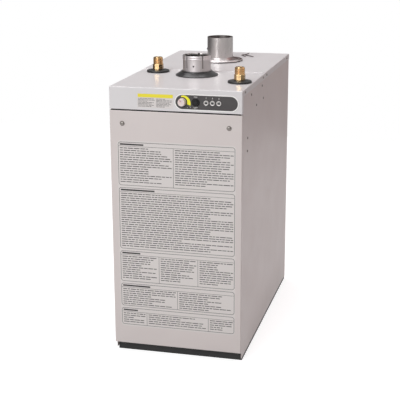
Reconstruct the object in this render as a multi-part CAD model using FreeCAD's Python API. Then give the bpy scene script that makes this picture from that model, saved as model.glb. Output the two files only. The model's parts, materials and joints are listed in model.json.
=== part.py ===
import FreeCAD, Part
import math
import os

# Oil-fired water heater in a folded steel cabinet, with its boiler, gun burner, fuel and water lines.
# Millimetres. X runs right seen from the front, Y runs towards the back, Z is up.
# The origin is on the floor, under the middle of the cabinet.

V = FreeCAD.Vector
RIGHT = V(1, 0, 0)
BACK = V(0, 1, 0)
FRONT = V(0, -1, 0)
UP = V(0, 0, 1)

# General clearances
LOOSE = 0.3
RUNNING = 0.05

# Cabinet
CABINET_WIDTH = 350.0
CABINET_DEPTH = 692.0
CABINET_HEIGHT = 735.0
SHEET = 1.0
BEND_RADIUS = 2.4
RETURN_DEPTH = 12.0
SEAM = 0.5
PANEL_FLANGE = 14.0
SIDE_PANEL_BOTTOM = 9.5
FRONT_PANEL_BOTTOM = 29.0
STRIP_HEIGHT = 60.0
STRIP_GAP = 2.4
COVER_FLANGE = 16.0
SEAM_MARGIN = 3.5
COVER_OVERLAP = 12.0
HEM_WIDTH = 5.0
BASE_HEIGHT = 28.0
BASE_WALL = 2.0
BASE_LIP = 12.0
TOE_RECESS = 25.0
PANEL_TAB_INSET = 60.0
PANEL_TAB_WIDTH = 30.0
PANEL_TAB_REACH = 5.0
RAIL_HEIGHT = 40.0
RAIL_DEPTH = 24.0
RAIL_WALL = 1.2
RAIL_DROP = 10.0
STANDOFF_RADIUS = 8.0

# Screws
PANEL_SCREW_X = 141.0
PANEL_SCREW_DROP = 34.0
PANEL_SCREW_RADIUS = 2.0
PANEL_SCREW_LENGTH = 22.0
PANEL_SCREW_HEAD_RADIUS = 4.6
PANEL_SCREW_HEAD_HEIGHT = 3.0
WASHER_RADIUS = 6.5
WASHER_THICKNESS = 1.0
SCREW_RADIUS = 1.6
SCREW_LENGTH = 7.0
SCREW_HEAD_RADIUS = 3.5
SCREW_HEAD_HEIGHT = 1.8
COVER_SCREW_DROP = 8.5
COVER_SCREW_FRONT = 33.0
COVER_SCREW_SEAM = 26.0
COVER_SCREW_BACK = 42.0
SIDE_SCREWS = [(114.0, 29.0), (259.0, 29.0), (182.0, 68.0), (278.0, 66.0), (70.0, 134.0), (68.0, 168.0)]

# Controls on the strip
CONTROL_DROP = 34.0
ESCUTCHEON_LEFT = 2.0
ESCUTCHEON_RIGHT = 163.0
ESCUTCHEON_HEIGHT = 36.0
ESCUTCHEON_THICKNESS = 1.2
KNOB_X = 20.0
KNOB_RADIUS = 10.5
KNOB_DEPTH = 12.0
KNOB_TAPER = 0.8
KNOB_SKIRT = 2.0
KNOB_EDGE = 1.2
KNOB_GAP = 0.4
SHAFT_RADIUS = 3.0
SHAFT_BUSHING_RADIUS = 4.6
POT_WIDTH = 16.0
BUTTON_X = 54.5
BUTTON_RADIUS = 7.0
BUTTON_PROUD = 5.5
BUTTON_RIM = 0.6
BUTTON_TRAVEL = 2.5
BUTTON_COLLAR_RADIUS = 10.5
BUTTON_COLLAR_HEIGHT = 3.0
BUTTON_BUSHING_RADIUS = 8.6
BUTTON_STEM_RADIUS = 3.0
SWITCH_WIDTH = 19.0
SWITCH_WELL = 6.0
LAMP_X = 81.8
LAMP_PITCH = 16.4
LAMP_COUNT = 3
LAMP_BEZEL_RADIUS = 6.4
LAMP_BEZEL_HEIGHT = 2.5
LAMP_BEZEL_EDGE = 1.0
LAMP_BEZEL_LIP = 0.6
LAMP_LENS_RADIUS = 3.8
BOARD_GAP = 18.0
BOARD_THICKNESS = 1.6
BOARD_HEIGHT = 40.0
BOARD_MARGIN = 6.0
POST_RADIUS = 2.5

# Water fittings on the top
NIPPLE_BORE = 9.5
NIPPLE_RADIUS = 13.335
NIPPLE_THREAD = 19.0
NIPPLE_NECK_RADIUS = 13.0
NIPPLE_NECK_DEPTH = 20.0
NIPPLE_CHAMFER = 1.2
COLLAR_SIDES = 8
COLLAR_FLATS = 27.5
COLLAR_HEIGHT = 17.0
COLLAR_LIFT = 5.0
COLD_INSET = 35.0
COLD_SETBACK = 128.0
HOT_INSET = 56.0
HOT_REACH = 88.0
GROMMET_RADIUS = 31.5
GROMMET_RIM = 2.2
GROMMET_HEIGHT = 7.5
GROMMET_HOLE = 16.5
GROMMET_LIP = 3.0
GROMMET_TAIL = 5.0
PIPE_RADIUS = 11.0
PIPE_BEND = 28.0

# Air intake stub and its boot
INTAKE_RADIUS = 37.75
INTAKE_WALL = 1.1
INTAKE_HEIGHT = 55.0
INTAKE_DEPTH = 60.0
INTAKE_RIM_RADIUS = 38.5
INTAKE_BEAD = 6.0
CHANNEL_COUNT = 5
CHANNEL_TURN = 3.7
CHANNEL_RADIUS = 5.7
CHANNEL_FLOOR = 0.4
CHANNEL_LENGTH = 33.0
INTAKE_HOLE_HEIGHT = 28.0
INTAKE_HOLE_RADIUS = 2.2
BOOT_RADIUS = 57.5
BOOT_HEIGHT = 13.5
BOOT_HOLE = 46.0
BOOT_RIB = 2.5
BOOT_SEAM_GAP = 10.5

# Exhaust stub and its flange
EXHAUST_RADIUS = 37.5
EXHAUST_WALL = 1.0
EXHAUST_HEIGHT = 70.0
EXHAUST_HOLE = 44.0
FLANGE_RADIUS = 66.0
FLANGE_SHEET = 1.2
FLANGE_EDGE = 1.6
FLANGE_RING_RADIUS = 56.0
FLANGE_RING_WIDTH = 8.0
FLANGE_RING_HEIGHT = 3.2
FLARE_RADIUS = 50.0
FLANGE_HEIGHT = 10.0
GASKET_RADIUS = 62.0
GASKET_THICKNESS = 1.5

# Wire clip beside the flue: corners to the right of the flue's axis and behind it
CLIP_WIRE = 1.3
CLIP_BEND = 6.0
CLIP_LEG = [(82.0, 88.0), (50.0, 120.0), (54.0, 162.0)]
CLIP_HOOK = [(51.5, 138.0), (40.0, 117.0), (58.0, 87.0)]

# Boiler
BOILER_SIDE_GAP = 16.0
BOILER_BACK_GAP = 31.0
INSULATION = 12.0
BOILER_WALL = 2.4
BOILER_LIFT = 68.0
BOILER_HEADROOM = 122.0
CHAMBER_GAP = 30.0
CHAMBER_LIFT = 20.0
CHAMBER_HEIGHT = 240.0
END_PLATE = 3.0
FIRE_TUBE_COUNT = 6
FIRE_TUBE_RADIUS = 22.0
FIRE_TUBE_WALL = 1.6
FIRE_TUBE_MARGIN = 43.0
HOOD_HEIGHT = 40.0
HOOD_NECK = 24.0
HOOD_SHEET = 1.5
STAND_INSET = 25.0
STAND_WALL = 3.0
STAND_WINDOW = 26.0
PORT_RADIUS = 14.0
PORT_ANGLE = 49.0
DRAIN_HEIGHT = 30.0
COLD_PORT_HEIGHT = 60.0
HOT_PORT_DROP = 40.0
LIMITER_DROP = 120.0
LIMITER_RADIUS = 8.0
LIMITER_HEIGHT = 8.0
LIMITER_RIM = 1.5
LIMITER_PAD = 12.0

# Gun burner
BURNER_HEIGHT = 135.0
BURNER_RADIUS = 48.0
BURNER_WALL = 1.5
BURNER_PLUNGE = 17.0
SLEEVE_GAP = 4.0
SLEEVE_WALL = 2.0
SLEEVE_PROUD = 5.0
MOUNT_PLATE = 3.0
MOUNT_PLATE_WIDTH = 150.0
MOUNT_PLATE_CORNER = 12.0
BURNER_NECK = 76.0
BURNER_FLANGE = 110.0
NOZZLE_SETBACK = 44.0
NOZZLE_RADIUS = 6.0
NOZZLE_TIP = 5.0
NOZZLE_NOSE = 8.0
NOZZLE_DROP = 62.0
DIFFUSER_GAP = 1.5
DIFFUSER_BORE = 16.0
DIFFUSER_SHEET = 1.5
DIFFUSER_RIM = 5.0
DIFFUSER_SLOTS = 10
DIFFUSER_SLOT = 3.0
DIFFUSER_TURN = 10.0
DIFFUSER_ARM = 26.0
DIFFUSER_ARMS = 3
DIFFUSER_ARM_WIDTH = 6.0
DIFFUSER_ARM_SHEET = 3.0
ELECTRODE_RADIUS = 3.5
ELECTRODE_SPREAD = 12.0
ELECTRODE_RISE = 14.0
ELECTRODE_TIP = 1.0
ELECTRODE_GAP = 6.0
IGNITER_WIDTH = 70.0
IGNITER_HEIGHT = 50.0
IGNITER_SADDLE = 10.0
IGNITER_CORNER = 5.0
SENSOR_RADIUS = 6.0
SENSOR_LENGTH = 26.0
SENSOR_NECK = 8.0
SENSOR_COLLAR = 2.0

# Blower
FAN_RADIUS = 52.0
FAN_WIDTH = 42.0
FAN_DISC = 1.5
FAN_HUB_RADIUS = 9.0
FAN_BLADES = 18
BLADE_DEPTH = 10.0
BLADE_SHEET = 1.2
BLADE_LEAD = 9.0
FAN_SHAFT_RADIUS = 4.0
SCROLL_START = 58.0
SCROLL_STEP = 8.0
SCROLL_WALL = 2.0
SCROLL_WIDTH = 54.0
SCROLL_THROAT = 28.0
SCROLL_REACH = 75.0
SCROLL_INLET = 34.0
MOTOR_RADIUS = 42.0
MOTOR_LENGTH = 75.0
MOTOR_RIM = 3.0
INLET_BOX_WIDTH = 66.0
INLET_BOX_HALF = 55.0
INLET_BOX_WALL = 1.5
INLET_BOX_CORNER = 6.0
DUCT_RADIUS = 28.0
DUCT_WALL = 1.0
DUCT_BEND = 70.0
REDUCER_HEIGHT = 20.0

# Fuel side
FUEL_INSET = 33.0
FUEL_HEIGHT = 50.0
FUEL_LINE_RADIUS = 3.0
FUEL_LINE_BORE = 2.0
FUEL_LINE_BEND = 14.0
FUEL_FITTING_RADIUS = 7.94
FUEL_FITTING_LENGTH = 14.0
FUEL_FITTING_FLATS = 22.0
FUEL_FITTING_NUT = 6.0
FUEL_FITTING_TAIL = 8.0
STRAINER_RADIUS = 16.0
STRAINER_LENGTH = 60.0
STRAINER_NECK = 7.0
STRAINER_END = 8.0
SUCTION_RUN = 50.0
SUCTION_BEND = 4.0
PUMP_RADIUS = 22.0
PUMP_HEIGHT = 80.0
PUMP_FOOT = 2.0
PUMP_NECK = 12.0
PUMP_STAND = 14.0
PUMP_EDGE = 2.0
PUMP_END = 12.0
PUMP_END_FLATS = 17.0
PUMP_APPROACH = 40.0
PUMP_SETBACK = 62.0
PUMP_INSET = 53.0

# Water side
FLOW_SENSOR_RADIUS = 20.0
FLOW_SENSOR_HEIGHT = 60.0
FLOW_SENSOR_DROP = 260.0
FLOW_SENSOR_FLATS = 28.0
FLOW_SENSOR_END = 12.0
SPIDER_ARMS = 3
SPIDER_ARM_WIDTH = 1.6
SPIDER_HEIGHT = 3.0
SPIDER_WALL = 1.5
TURBINE_RADIUS = 8.8
TURBINE_LENGTH = 22.0
TURBINE_BLADES = 5
TURBINE_SHEET = 1.0
TURBINE_TWIST = 18.0
SPINDLE_RADIUS = 1.5
DRAIN_RADIUS = 13.0
DRAIN_LENGTH = 60.0
DRAIN_HEX_LENGTH = 14.0
DRAIN_BALL_LENGTH = 40.0
DRAIN_SINK = 4.0
DRAIN_SPOUT = 8.0
DRAIN_SPOUT_BEND = 12.0
DRAIN_SPOUT_DROP = 34.0
DRAIN_STEM = 4.0
DRAIN_BONNET = 5.0
DRAIN_BONNET_RADIUS = 8.0
LEVER_LENGTH = 45.0
LEVER_WIDTH = 12.0
LEVER_SHEET = 2.5
LEVER_CORNER = 5.5

# Electrics
CONTROL_BOX = (42.0, 160.0, 180.0)
CONTROL_BOX_SETBACK = 72.0
CONTROL_BOX_DROP = 162.0
CONTROL_BOX_CORNER = 4.0
LID_DEPTH = 6.0
LID_RIM = 2.0
LID_PROUD = 1.5
GLAND_INSET = 55.0
GLAND_HEIGHT = 58.0
GLAND_BORE = 4.5
GLAND_RADIUS = 10.0
GLAND_PROUD = 16.0
GLAND_RIM = 2.0
GLAND_FLANGE = 3.0
GLAND_NUT = 6.0
VENT_LENGTH = 90.0
VENT_HEIGHT = 5.0
VENT_PITCH = 16.0
VENT_COUNT = 5

# Worked out from the sizes above
X_OUT = CABINET_WIDTH / 2
X_SIDE = X_OUT - SHEET
X_IN = X_SIDE - SHEET
Y_FRONT = -CABINET_DEPTH / 2
Y_BACK = CABINET_DEPTH / 2
Y_SIDE_FRONT = Y_FRONT + RETURN_DEPTH + SEAM
Y_SIDE_BACK = Y_BACK - 2 * SHEET
Z_TOP = CABINET_HEIGHT
Z_FRONT_COVER = Z_TOP - SHEET
Z_SIDE_TOP = Z_FRONT_COVER - SHEET
Z_STRIP = Z_TOP - STRIP_HEIGHT
Z_PANEL = Z_STRIP - STRIP_GAP
Z_CONTROLS = Z_TOP - CONTROL_DROP
Z_TRAY = BASE_WALL
Y_PLATE = Y_FRONT - ESCUTCHEON_THICKNESS
Y_STRIP_BACK = Y_FRONT + SHEET
Y_BOARD = Y_STRIP_BACK + BOARD_GAP

COLD_X = X_OUT - COLD_INSET
COLD_Y = Y_FRONT + COLD_SETBACK
HOT_X = HOT_INSET - X_OUT
COLLAR_CORNER = COLLAR_FLATS / 2 / math.cos(math.pi / COLLAR_SIDES)
KNOB_SOCKET = 0.7 * KNOB_DEPTH

INSULATION_RADIUS = X_IN - BOILER_SIDE_GAP
BOILER_RADIUS = INSULATION_RADIUS - INSULATION
BOILER_Y = Y_BACK - BOILER_BACK_GAP - INSULATION_RADIUS
BOILER_Z0 = Z_TRAY + BOILER_LIFT
BOILER_Z1 = Z_TOP - BOILER_HEADROOM
BOILER_FRONT = BOILER_Y - BOILER_RADIUS
INSULATION_FRONT = BOILER_Y - INSULATION_RADIUS
HOT_Y = INSULATION_FRONT - HOT_REACH
Y_SEAM = HOT_Y + GROMMET_RADIUS + SEAM_MARGIN
INTAKE_Y = Y_SEAM - BOOT_SEAM_GAP - BOOT_RADIUS
CHAMBER_RADIUS = BOILER_RADIUS - CHAMBER_GAP
CHAMBER_Z0 = BOILER_Z0 + CHAMBER_LIFT
CHAMBER_Z1 = CHAMBER_Z0 + CHAMBER_HEIGHT
HOOD_Z1 = BOILER_Z1 + HOOD_HEIGHT
EXHAUST_Y = BOILER_Y

BURNER_Z = BOILER_Z0 + BURNER_HEIGHT
SLEEVE_RADIUS = BURNER_RADIUS + SLEEVE_GAP + SLEEVE_WALL
MOUNT_Y = INSULATION_FRONT - SLEEVE_PROUD
FAN_OUTLET_Y = MOUNT_Y - BURNER_NECK
FAN_Y = FAN_OUTLET_Y - SCROLL_REACH
SCROLL_TOP = SCROLL_START + 2.5 * SCROLL_STEP
FAN_Z = BURNER_Z - (SCROLL_TOP + SCROLL_THROAT) / 2
NOZZLE_Y = MOUNT_Y - NOZZLE_SETBACK
NOZZLE_Z0 = BURNER_Z - NOZZLE_DROP
DIFFUSER_Y = BOILER_FRONT
INLET_BOX_X = SCROLL_WIDTH / 2 + INLET_BOX_WIDTH / 2
INLET_BOX_TOP = FAN_Z + INLET_BOX_HALF

PORT_X = BOILER_RADIUS * math.sin(math.radians(PORT_ANGLE))
COLD_PORT_Z = BOILER_Z0 + COLD_PORT_HEIGHT
DRAIN_Z = BOILER_Z0 + DRAIN_HEIGHT
DRAIN_Y = INSULATION_FRONT - DRAIN_LENGTH / 2
HOT_PORT_Z = BOILER_Z1 - HOT_PORT_DROP
LIMITER_Z = BOILER_Z1 - LIMITER_DROP
FLOW_Z1 = Z_TOP - FLOW_SENSOR_DROP
FLOW_Z0 = FLOW_Z1 - FLOW_SENSOR_HEIGHT
TURBINE_Z = (FLOW_Z0 + FLOW_Z1 - TURBINE_LENGTH) / 2
FUEL_X = X_IN - FUEL_INSET
FUEL_Z = Z_TRAY + FUEL_HEIGHT
STRAINER_Y = COLD_Y + 1.5 * STRAINER_LENGTH
PUMP_X = X_IN - PUMP_INSET
PUMP_Y = Y_SIDE_FRONT + PUMP_SETBACK
PUMP_Z1 = Z_TRAY + PUMP_HEIGHT
GLAND_X = GLAND_INSET - X_IN
GLAND_Z = Z_TRAY + GLAND_HEIGHT


def box(x0, x1, y0, y1, z0, z1):
    return Part.makeBox(x1 - x0, y1 - y0, z1 - z0, V(x0, y0, z0))


def rod(radius, base, axis, length):
    return Part.makeCylinder(radius, length, base, axis)


def tube(outer, inner, base, axis, length):
    return rod(outer, base, axis, length).cut(rod(inner, base, axis, length))


def flat_face(points):
    """Planar face from 3D points; a pair of points stands for an arc through the first to the second."""
    edges = []
    here = points[0]
    for item in points[1:] + points[:1]:
        if isinstance(item, tuple):
            edges.append(Part.Arc(here, item[0], item[1]).toShape())
            here = item[1]
        else:
            edges.append(Part.LineSegment(here, item).toShape())
            here = item
    return Part.Face(Part.Wire(edges))


def turned(profile, base, axis=UP):
    """Solid of revolution from (radius, height) points; four numbers are an arc through the first two."""
    points = []
    for item in profile:
        end = V(item[-2], 0, item[-1])
        points.append(end if len(item) == 2 else (V(item[0], 0, item[1]), end))
    solid = flat_face(points).revolve(V(), UP, 360)
    solid.Placement = FreeCAD.Placement(base, FreeCAD.Rotation(UP, axis))
    return solid


def dome(radius, base, height):
    """Arc, as turned() takes it, of the round cap that ends on the axis."""
    ball = (radius ** 2 + height ** 2) / (2 * height)
    half = math.asin(radius / ball) / 2
    return (ball * math.sin(half), base + height - ball * (1 - math.cos(half)), 0, base + height)


def even_bar(sides, flats, base, axis, length):
    """Regular bar measured across its flats; upright, it has the middle of a side towards the front."""
    corner = flats / 2 / math.cos(math.pi / sides)
    turns = [2 * math.pi * (k + 0.5) / sides - math.pi / 2 for k in range(sides)]
    points = [V(corner * math.cos(turn), corner * math.sin(turn), 0) for turn in turns]
    solid = flat_face(points).extrude(UP * length)
    solid.Placement = FreeCAD.Placement(base, FreeCAD.Rotation(UP, axis))
    return solid


def hexagon(flats, base, axis, length):
    return even_bar(6, flats, base, axis, length)


def bent_path(points, bend):
    """Straight runs joined by tangent arcs of one radius."""
    edges = []
    here = points[0]
    for before, corner, after in zip(points, points[1:], points[2:]):
        into = (corner - before).normalize()
        out = (after - corner).normalize()
        half_turn = into.getAngle(out) / 2
        trim = bend * math.tan(half_turn)
        start = corner - into * trim
        end = corner + out * trim
        middle = corner + (out - into).normalize() * (bend / math.cos(half_turn) - bend)
        edges.append(Part.LineSegment(here, start).toShape())
        edges.append(Part.Arc(start, middle, end).toShape())
        here = end
    edges.append(Part.LineSegment(here, points[-1]).toShape())
    return Part.Wire(edges)


def bent_tube(points, bend, outer, inner=0.0):
    path = bent_path(points, bend)
    swept = []
    for radius in (outer, inner):
        if radius > 0:
            ring = Part.Wire([Part.makeCircle(radius, points[0], points[1] - points[0])])
            swept.append(path.makePipeShell([ring], True, False))
    return swept[0].cut(swept[1]) if inner > 0 else swept[0]


def round_edges(solid, radius, wanted, along=None):
    """Fillet the edges, of one direction if it is given, whose two end points both satisfy the test."""
    edges = [edge for edge in solid.Edges if all(wanted(vertex.Point) for vertex in edge.Vertexes)]
    if along:
        edges = [edge for edge in edges if near(abs(edge.tangentAt(edge.FirstParameter).dot(along)), 1)]
    return solid.makeFillet(radius, edges)


def near(a, b):
    return abs(a - b) < 1e-6


def mirrored(solid):
    return solid.mirror(V(), RIGHT)


def both_sides(solid):
    return [solid, mirrored(solid)]


def fused(first, *others):
    return first.fuse(list(others)).removeSplitter()


def save(name, *solids):
    shape = solids[0] if len(solids) == 1 else Part.makeCompound(list(solids))
    if not shape.isValid() or not shape.Solids:
        raise ValueError(name + " is not a valid solid")
    shape.exportStep("parts/" + name + ".step")
    print(name, len(shape.Solids), round(sum(solid.Volume for solid in shape.Solids)))


def cover_screw_places():
    stations = [Y_FRONT + COVER_SCREW_FRONT, Y_SEAM - COVER_SCREW_SEAM,
                Y_SEAM + COVER_SCREW_SEAM, Y_BACK - COVER_SCREW_BACK]
    return [V(X_OUT, y, Z_TOP - COVER_SCREW_DROP) for y in stations]


def side_screw_places():
    return [V(X_SIDE, Y_FRONT + setback, Z_TOP - drop) for setback, drop in SIDE_SCREWS]


def cut_side_screws(solid, places):
    for place in places:
        drill = rod(SCREW_RADIUS, place - RIGHT * SCREW_LENGTH, RIGHT, 2 * SCREW_LENGTH)
        solid = solid.cut(drill).cut(mirrored(drill))
    return solid


def base_pan():
    """Tray that stands flat on the floor, with a turned-in lip and two tabs that carry the front panel."""
    y0 = Y_FRONT + TOE_RECESS
    y1 = Y_SIDE_BACK - SHEET
    shell = box(-X_IN, X_IN, y0, y1, 0, BASE_HEIGHT)
    shell = round_edges(shell, BASE_WALL, lambda p: near(p.y, y0) and near(p.z, BASE_HEIGHT))
    hollow = box(-X_IN + BASE_WALL, X_IN - BASE_WALL, y0 + BASE_WALL, y1 - BASE_WALL,
                 BASE_WALL, BASE_HEIGHT - BASE_WALL)
    mouth = box(-X_IN + BASE_LIP, X_IN - BASE_LIP, y0 + BASE_LIP, y1 - BASE_LIP, BASE_WALL, BASE_HEIGHT)
    tab_x = X_IN - PANEL_TAB_INSET
    tab = box(tab_x - PANEL_TAB_WIDTH, tab_x, Y_FRONT + PANEL_TAB_REACH, y0 + BASE_LIP,
              BASE_HEIGHT - BASE_WALL, FRONT_PANEL_BOTTOM)
    return fused(shell.cut(hollow).cut(mouth), *both_sides(tab))


def side_panel():
    shell = box(X_SIDE - PANEL_FLANGE, X_SIDE, Y_SIDE_FRONT, Y_SIDE_BACK, SIDE_PANEL_BOTTOM, Z_SIDE_TOP)
    shell = round_edges(shell, SHEET, lambda p: near(p.x, X_SIDE) and near(p.y, Y_SIDE_FRONT))
    hollow = box(X_SIDE - PANEL_FLANGE, X_IN, Y_SIDE_FRONT + SHEET, Y_SIDE_BACK - SHEET,
                 SIDE_PANEL_BOTTOM, Z_SIDE_TOP - SHEET)
    notch = box(X_SIDE - PANEL_FLANGE, X_IN, Y_SIDE_FRONT, Y_SIDE_FRONT + SHEET, SIDE_PANEL_BOTTOM, BASE_HEIGHT)
    return cut_side_screws(shell.cut(hollow).cut(notch), cover_screw_places() + side_screw_places())


def front_panel():
    shell = box(-X_OUT, X_OUT, Y_FRONT, Y_FRONT + RETURN_DEPTH, FRONT_PANEL_BOTTOM, Z_PANEL)
    shell = round_edges(shell, BEND_RADIUS, lambda p: near(p.y, Y_FRONT))
    hollow = box(-X_SIDE, X_SIDE, Y_STRIP_BACK, Y_FRONT + RETURN_DEPTH, FRONT_PANEL_BOTTOM + SHEET, Z_PANEL - SHEET)
    hollow = round_edges(hollow, BEND_RADIUS - SHEET, lambda p: near(p.y, Y_STRIP_BACK))
    panel = shell.cut(hollow)
    for place in panel_screw_places():
        panel = panel.cut(rod(PANEL_SCREW_RADIUS + LOOSE, place, BACK, RETURN_DEPTH))
    return panel


def panel_screw_places():
    return [V(x, Y_FRONT, Z_PANEL - PANEL_SCREW_DROP) for x in (-PANEL_SCREW_X, PANEL_SCREW_X)]


def back_panel():
    panel = box(-X_SIDE, X_SIDE, Y_SIDE_BACK, Y_SIDE_BACK + SHEET, SIDE_PANEL_BOTTOM, Z_SIDE_TOP)
    panel = panel.cut(rod(FUEL_FITTING_RADIUS, V(FUEL_X, Y_SIDE_BACK, FUEL_Z), BACK, SHEET))
    panel = panel.cut(rod(GLAND_RADIUS - SHEET, V(GLAND_X, Y_SIDE_BACK, GLAND_Z), BACK, SHEET))
    top_row = Z_SIDE_TOP - COVER_FLANGE - 2 * VENT_PITCH
    for side in (-1, 1):
        for row in range(VENT_COUNT):
            middle = side * X_OUT / 2
            height = top_row - row * VENT_PITCH
            slot = box(middle - VENT_LENGTH / 2, middle + VENT_LENGTH / 2, Y_SIDE_BACK, Y_SIDE_BACK + SHEET,
                       height - VENT_HEIGHT / 2, height + VENT_HEIGHT / 2)
            panel = panel.cut(slot)
    return panel


def front_top_cover():
    shell = box(-X_OUT, X_OUT, Y_FRONT, Y_SEAM, Z_STRIP, Z_FRONT_COVER)
    outer_edge = lambda p: near(p.y, Y_FRONT) or (near(p.z, Z_FRONT_COVER) and near(abs(p.x), X_OUT))
    shell = round_edges(shell, BEND_RADIUS, outer_edge)
    hollow = box(-X_SIDE, X_SIDE, Y_STRIP_BACK, Y_SEAM, Z_STRIP, Z_SIDE_TOP)
    flange_trim = box(-X_OUT, X_OUT, Y_FRONT + RETURN_DEPTH, Y_SEAM, Z_STRIP, Z_TOP - COVER_FLANGE)
    tongue_x = X_SIDE - LOOSE
    tongue = box(-tongue_x, tongue_x, Y_SEAM - COVER_OVERLAP, Y_SEAM + COVER_OVERLAP, Z_SIDE_TOP, Z_FRONT_COVER)
    cover = fused(shell.cut(hollow).cut(flange_trim), tongue)
    seats = [(V(COLD_X, COLD_Y, Z_SIDE_TOP), GROMMET_HOLE), (V(HOT_X, HOT_Y, Z_SIDE_TOP), GROMMET_HOLE),
             (V(0, INTAKE_Y, Z_SIDE_TOP), BOOT_HOLE)]
    for place, radius in seats:
        cover = cover.cut(rod(radius, place, UP, SHEET))
    controls = [(KNOB_X, SHAFT_BUSHING_RADIUS), (BUTTON_X, BUTTON_BUSHING_RADIUS)]
    controls += [(x, LAMP_LENS_RADIUS) for x in lamp_places()]
    for x, radius in controls:
        cover = cover.cut(rod(radius, V(x, Y_FRONT, Z_CONTROLS), BACK, SHEET))
    return cut_side_screws(cover, cover_screw_places()[:2])


def rear_top_cover():
    shell = box(-X_OUT, X_OUT, Y_SEAM + SEAM, Y_BACK, Z_TOP - COVER_FLANGE, Z_TOP)
    outer_edge = lambda p: near(p.y, Y_BACK) and p.z > Z_TOP - COVER_FLANGE / 2 or (
        near(p.z, Z_TOP) and near(abs(p.x), X_OUT))
    shell = round_edges(shell, BEND_RADIUS, outer_edge)
    hollow = box(-X_SIDE, X_SIDE, Y_SEAM + SEAM, Y_BACK - SHEET, Z_TOP - COVER_FLANGE, Z_FRONT_COVER)
    hem = box(-X_SIDE + BEND_RADIUS, X_SIDE - BEND_RADIUS, Y_SEAM + SEAM, Y_SEAM + SEAM + HEM_WIDTH,
              Z_TOP, Z_TOP + SHEET)
    hem = round_edges(hem, SHEET / 2, lambda p: near(p.z, Z_TOP + SHEET))
    cover = fused(shell.cut(hollow), hem)
    cover = cover.cut(rod(EXHAUST_HOLE, V(0, EXHAUST_Y, Z_FRONT_COVER), UP, SHEET))
    return cut_side_screws(cover, cover_screw_places()[2:])


def front_cross_rail():
    """Channel between the side panels; two standoffs bring the panel screws to the back of the front panel."""
    y0 = Y_SIDE_FRONT + SHEET
    z1 = Z_PANEL - RAIL_DROP
    z0 = z1 - RAIL_HEIGHT
    rail = box(-X_IN, X_IN, y0, y0 + RAIL_DEPTH, z0, z1)
    rail = rail.cut(box(-X_IN, X_IN, y0 + RAIL_WALL, y0 + RAIL_DEPTH, z0 + RAIL_WALL, z1 - RAIL_WALL))
    for place in panel_screw_places():
        pad = place + BACK * SHEET
        rail = rail.fuse(rod(STANDOFF_RADIUS, pad, BACK, y0 + RAIL_WALL - pad.y))
        rail = rail.cut(rod(PANEL_SCREW_RADIUS, place, BACK, PANEL_SCREW_LENGTH))
    return rail.removeSplitter()


def front_panel_screws():
    screws = []
    for place in panel_screw_places():
        washer = turned([(0, 0), (WASHER_RADIUS, 0), (WASHER_RADIUS - WASHER_THICKNESS / 2, WASHER_THICKNESS),
                         (0, WASHER_THICKNESS)], place, FRONT)
        rim = WASHER_THICKNESS + PANEL_SCREW_HEAD_HEIGHT / 3
        head = turned([(0, WASHER_THICKNESS), (PANEL_SCREW_HEAD_RADIUS, WASHER_THICKNESS),
                       (PANEL_SCREW_HEAD_RADIUS, rim),
                       dome(PANEL_SCREW_HEAD_RADIUS, rim, PANEL_SCREW_HEAD_HEIGHT * 2 / 3)], place, FRONT)
        screws.append(fused(washer, head, rod(PANEL_SCREW_RADIUS, place, BACK, PANEL_SCREW_LENGTH)))
    return screws


def cabinet_screws():
    screws = []
    for place in cover_screw_places() + side_screw_places():
        head = turned([(0, 0), (SCREW_HEAD_RADIUS, 0), (0.6 * SCREW_HEAD_RADIUS, SCREW_HEAD_HEIGHT),
                       (0, SCREW_HEAD_HEIGHT)], place, RIGHT)
        screws += both_sides(fused(head, rod(SCREW_RADIUS, place, RIGHT * -1, SCREW_LENGTH)))
    return screws


def lamp_places():
    return [LAMP_X + k * LAMP_PITCH for k in range(LAMP_COUNT)]


def control_escutcheon():
    end = ESCUTCHEON_HEIGHT / 2
    left = ESCUTCHEON_LEFT + end
    right = ESCUTCHEON_RIGHT - end
    plate = box(left, right, Y_PLATE, Y_FRONT, Z_CONTROLS - end, Z_CONTROLS + end)
    ends = [rod(end, V(x, Y_PLATE, Z_CONTROLS), BACK, ESCUTCHEON_THICKNESS) for x in (left, right)]
    plate = fused(plate, *ends)
    holes = [(KNOB_X, SHAFT_BUSHING_RADIUS), (BUTTON_X, BUTTON_BUSHING_RADIUS)]
    holes += [(x, LAMP_LENS_RADIUS) for x in lamp_places()]
    for x, radius in holes:
        plate = plate.cut(rod(radius, V(x, Y_PLATE, Z_CONTROLS), BACK, ESCUTCHEON_THICKNESS))
    return plate


def temperature_knob():
    place = V(KNOB_X, Y_PLATE - KNOB_GAP, Z_CONTROLS)
    face_radius = KNOB_RADIUS - KNOB_TAPER
    turn = KNOB_EDGE / 3
    knob = turned([(0, 0), (KNOB_RADIUS, 0), (KNOB_RADIUS, KNOB_SKIRT), (face_radius, KNOB_DEPTH - KNOB_EDGE),
                   (face_radius - turn, KNOB_DEPTH - turn, face_radius - KNOB_EDGE, KNOB_DEPTH), (0, KNOB_DEPTH)],
                  place, FRONT)
    return knob.cut(rod(SHAFT_RADIUS, place, FRONT, KNOB_SOCKET))


def knob_shaft():
    start = Y_PLATE - KNOB_GAP - KNOB_SOCKET
    return rod(SHAFT_RADIUS, V(KNOB_X, start, Z_CONTROLS), BACK, Y_STRIP_BACK + BOARD_GAP / 2 - start)


def temperature_potentiometer():
    half = POT_WIDTH / 2
    body = box(KNOB_X - half, KNOB_X + half, Y_STRIP_BACK, Y_BOARD, Z_CONTROLS - half, Z_CONTROLS + half)
    body = fused(body, rod(SHAFT_BUSHING_RADIUS, V(KNOB_X, Y_PLATE, Z_CONTROLS), BACK, BOARD_GAP))
    depth = Y_STRIP_BACK + BOARD_GAP / 2 + LOOSE - Y_PLATE
    return body.cut(rod(SHAFT_RADIUS + RUNNING, V(KNOB_X, Y_PLATE, Z_CONTROLS), BACK, depth))


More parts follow.
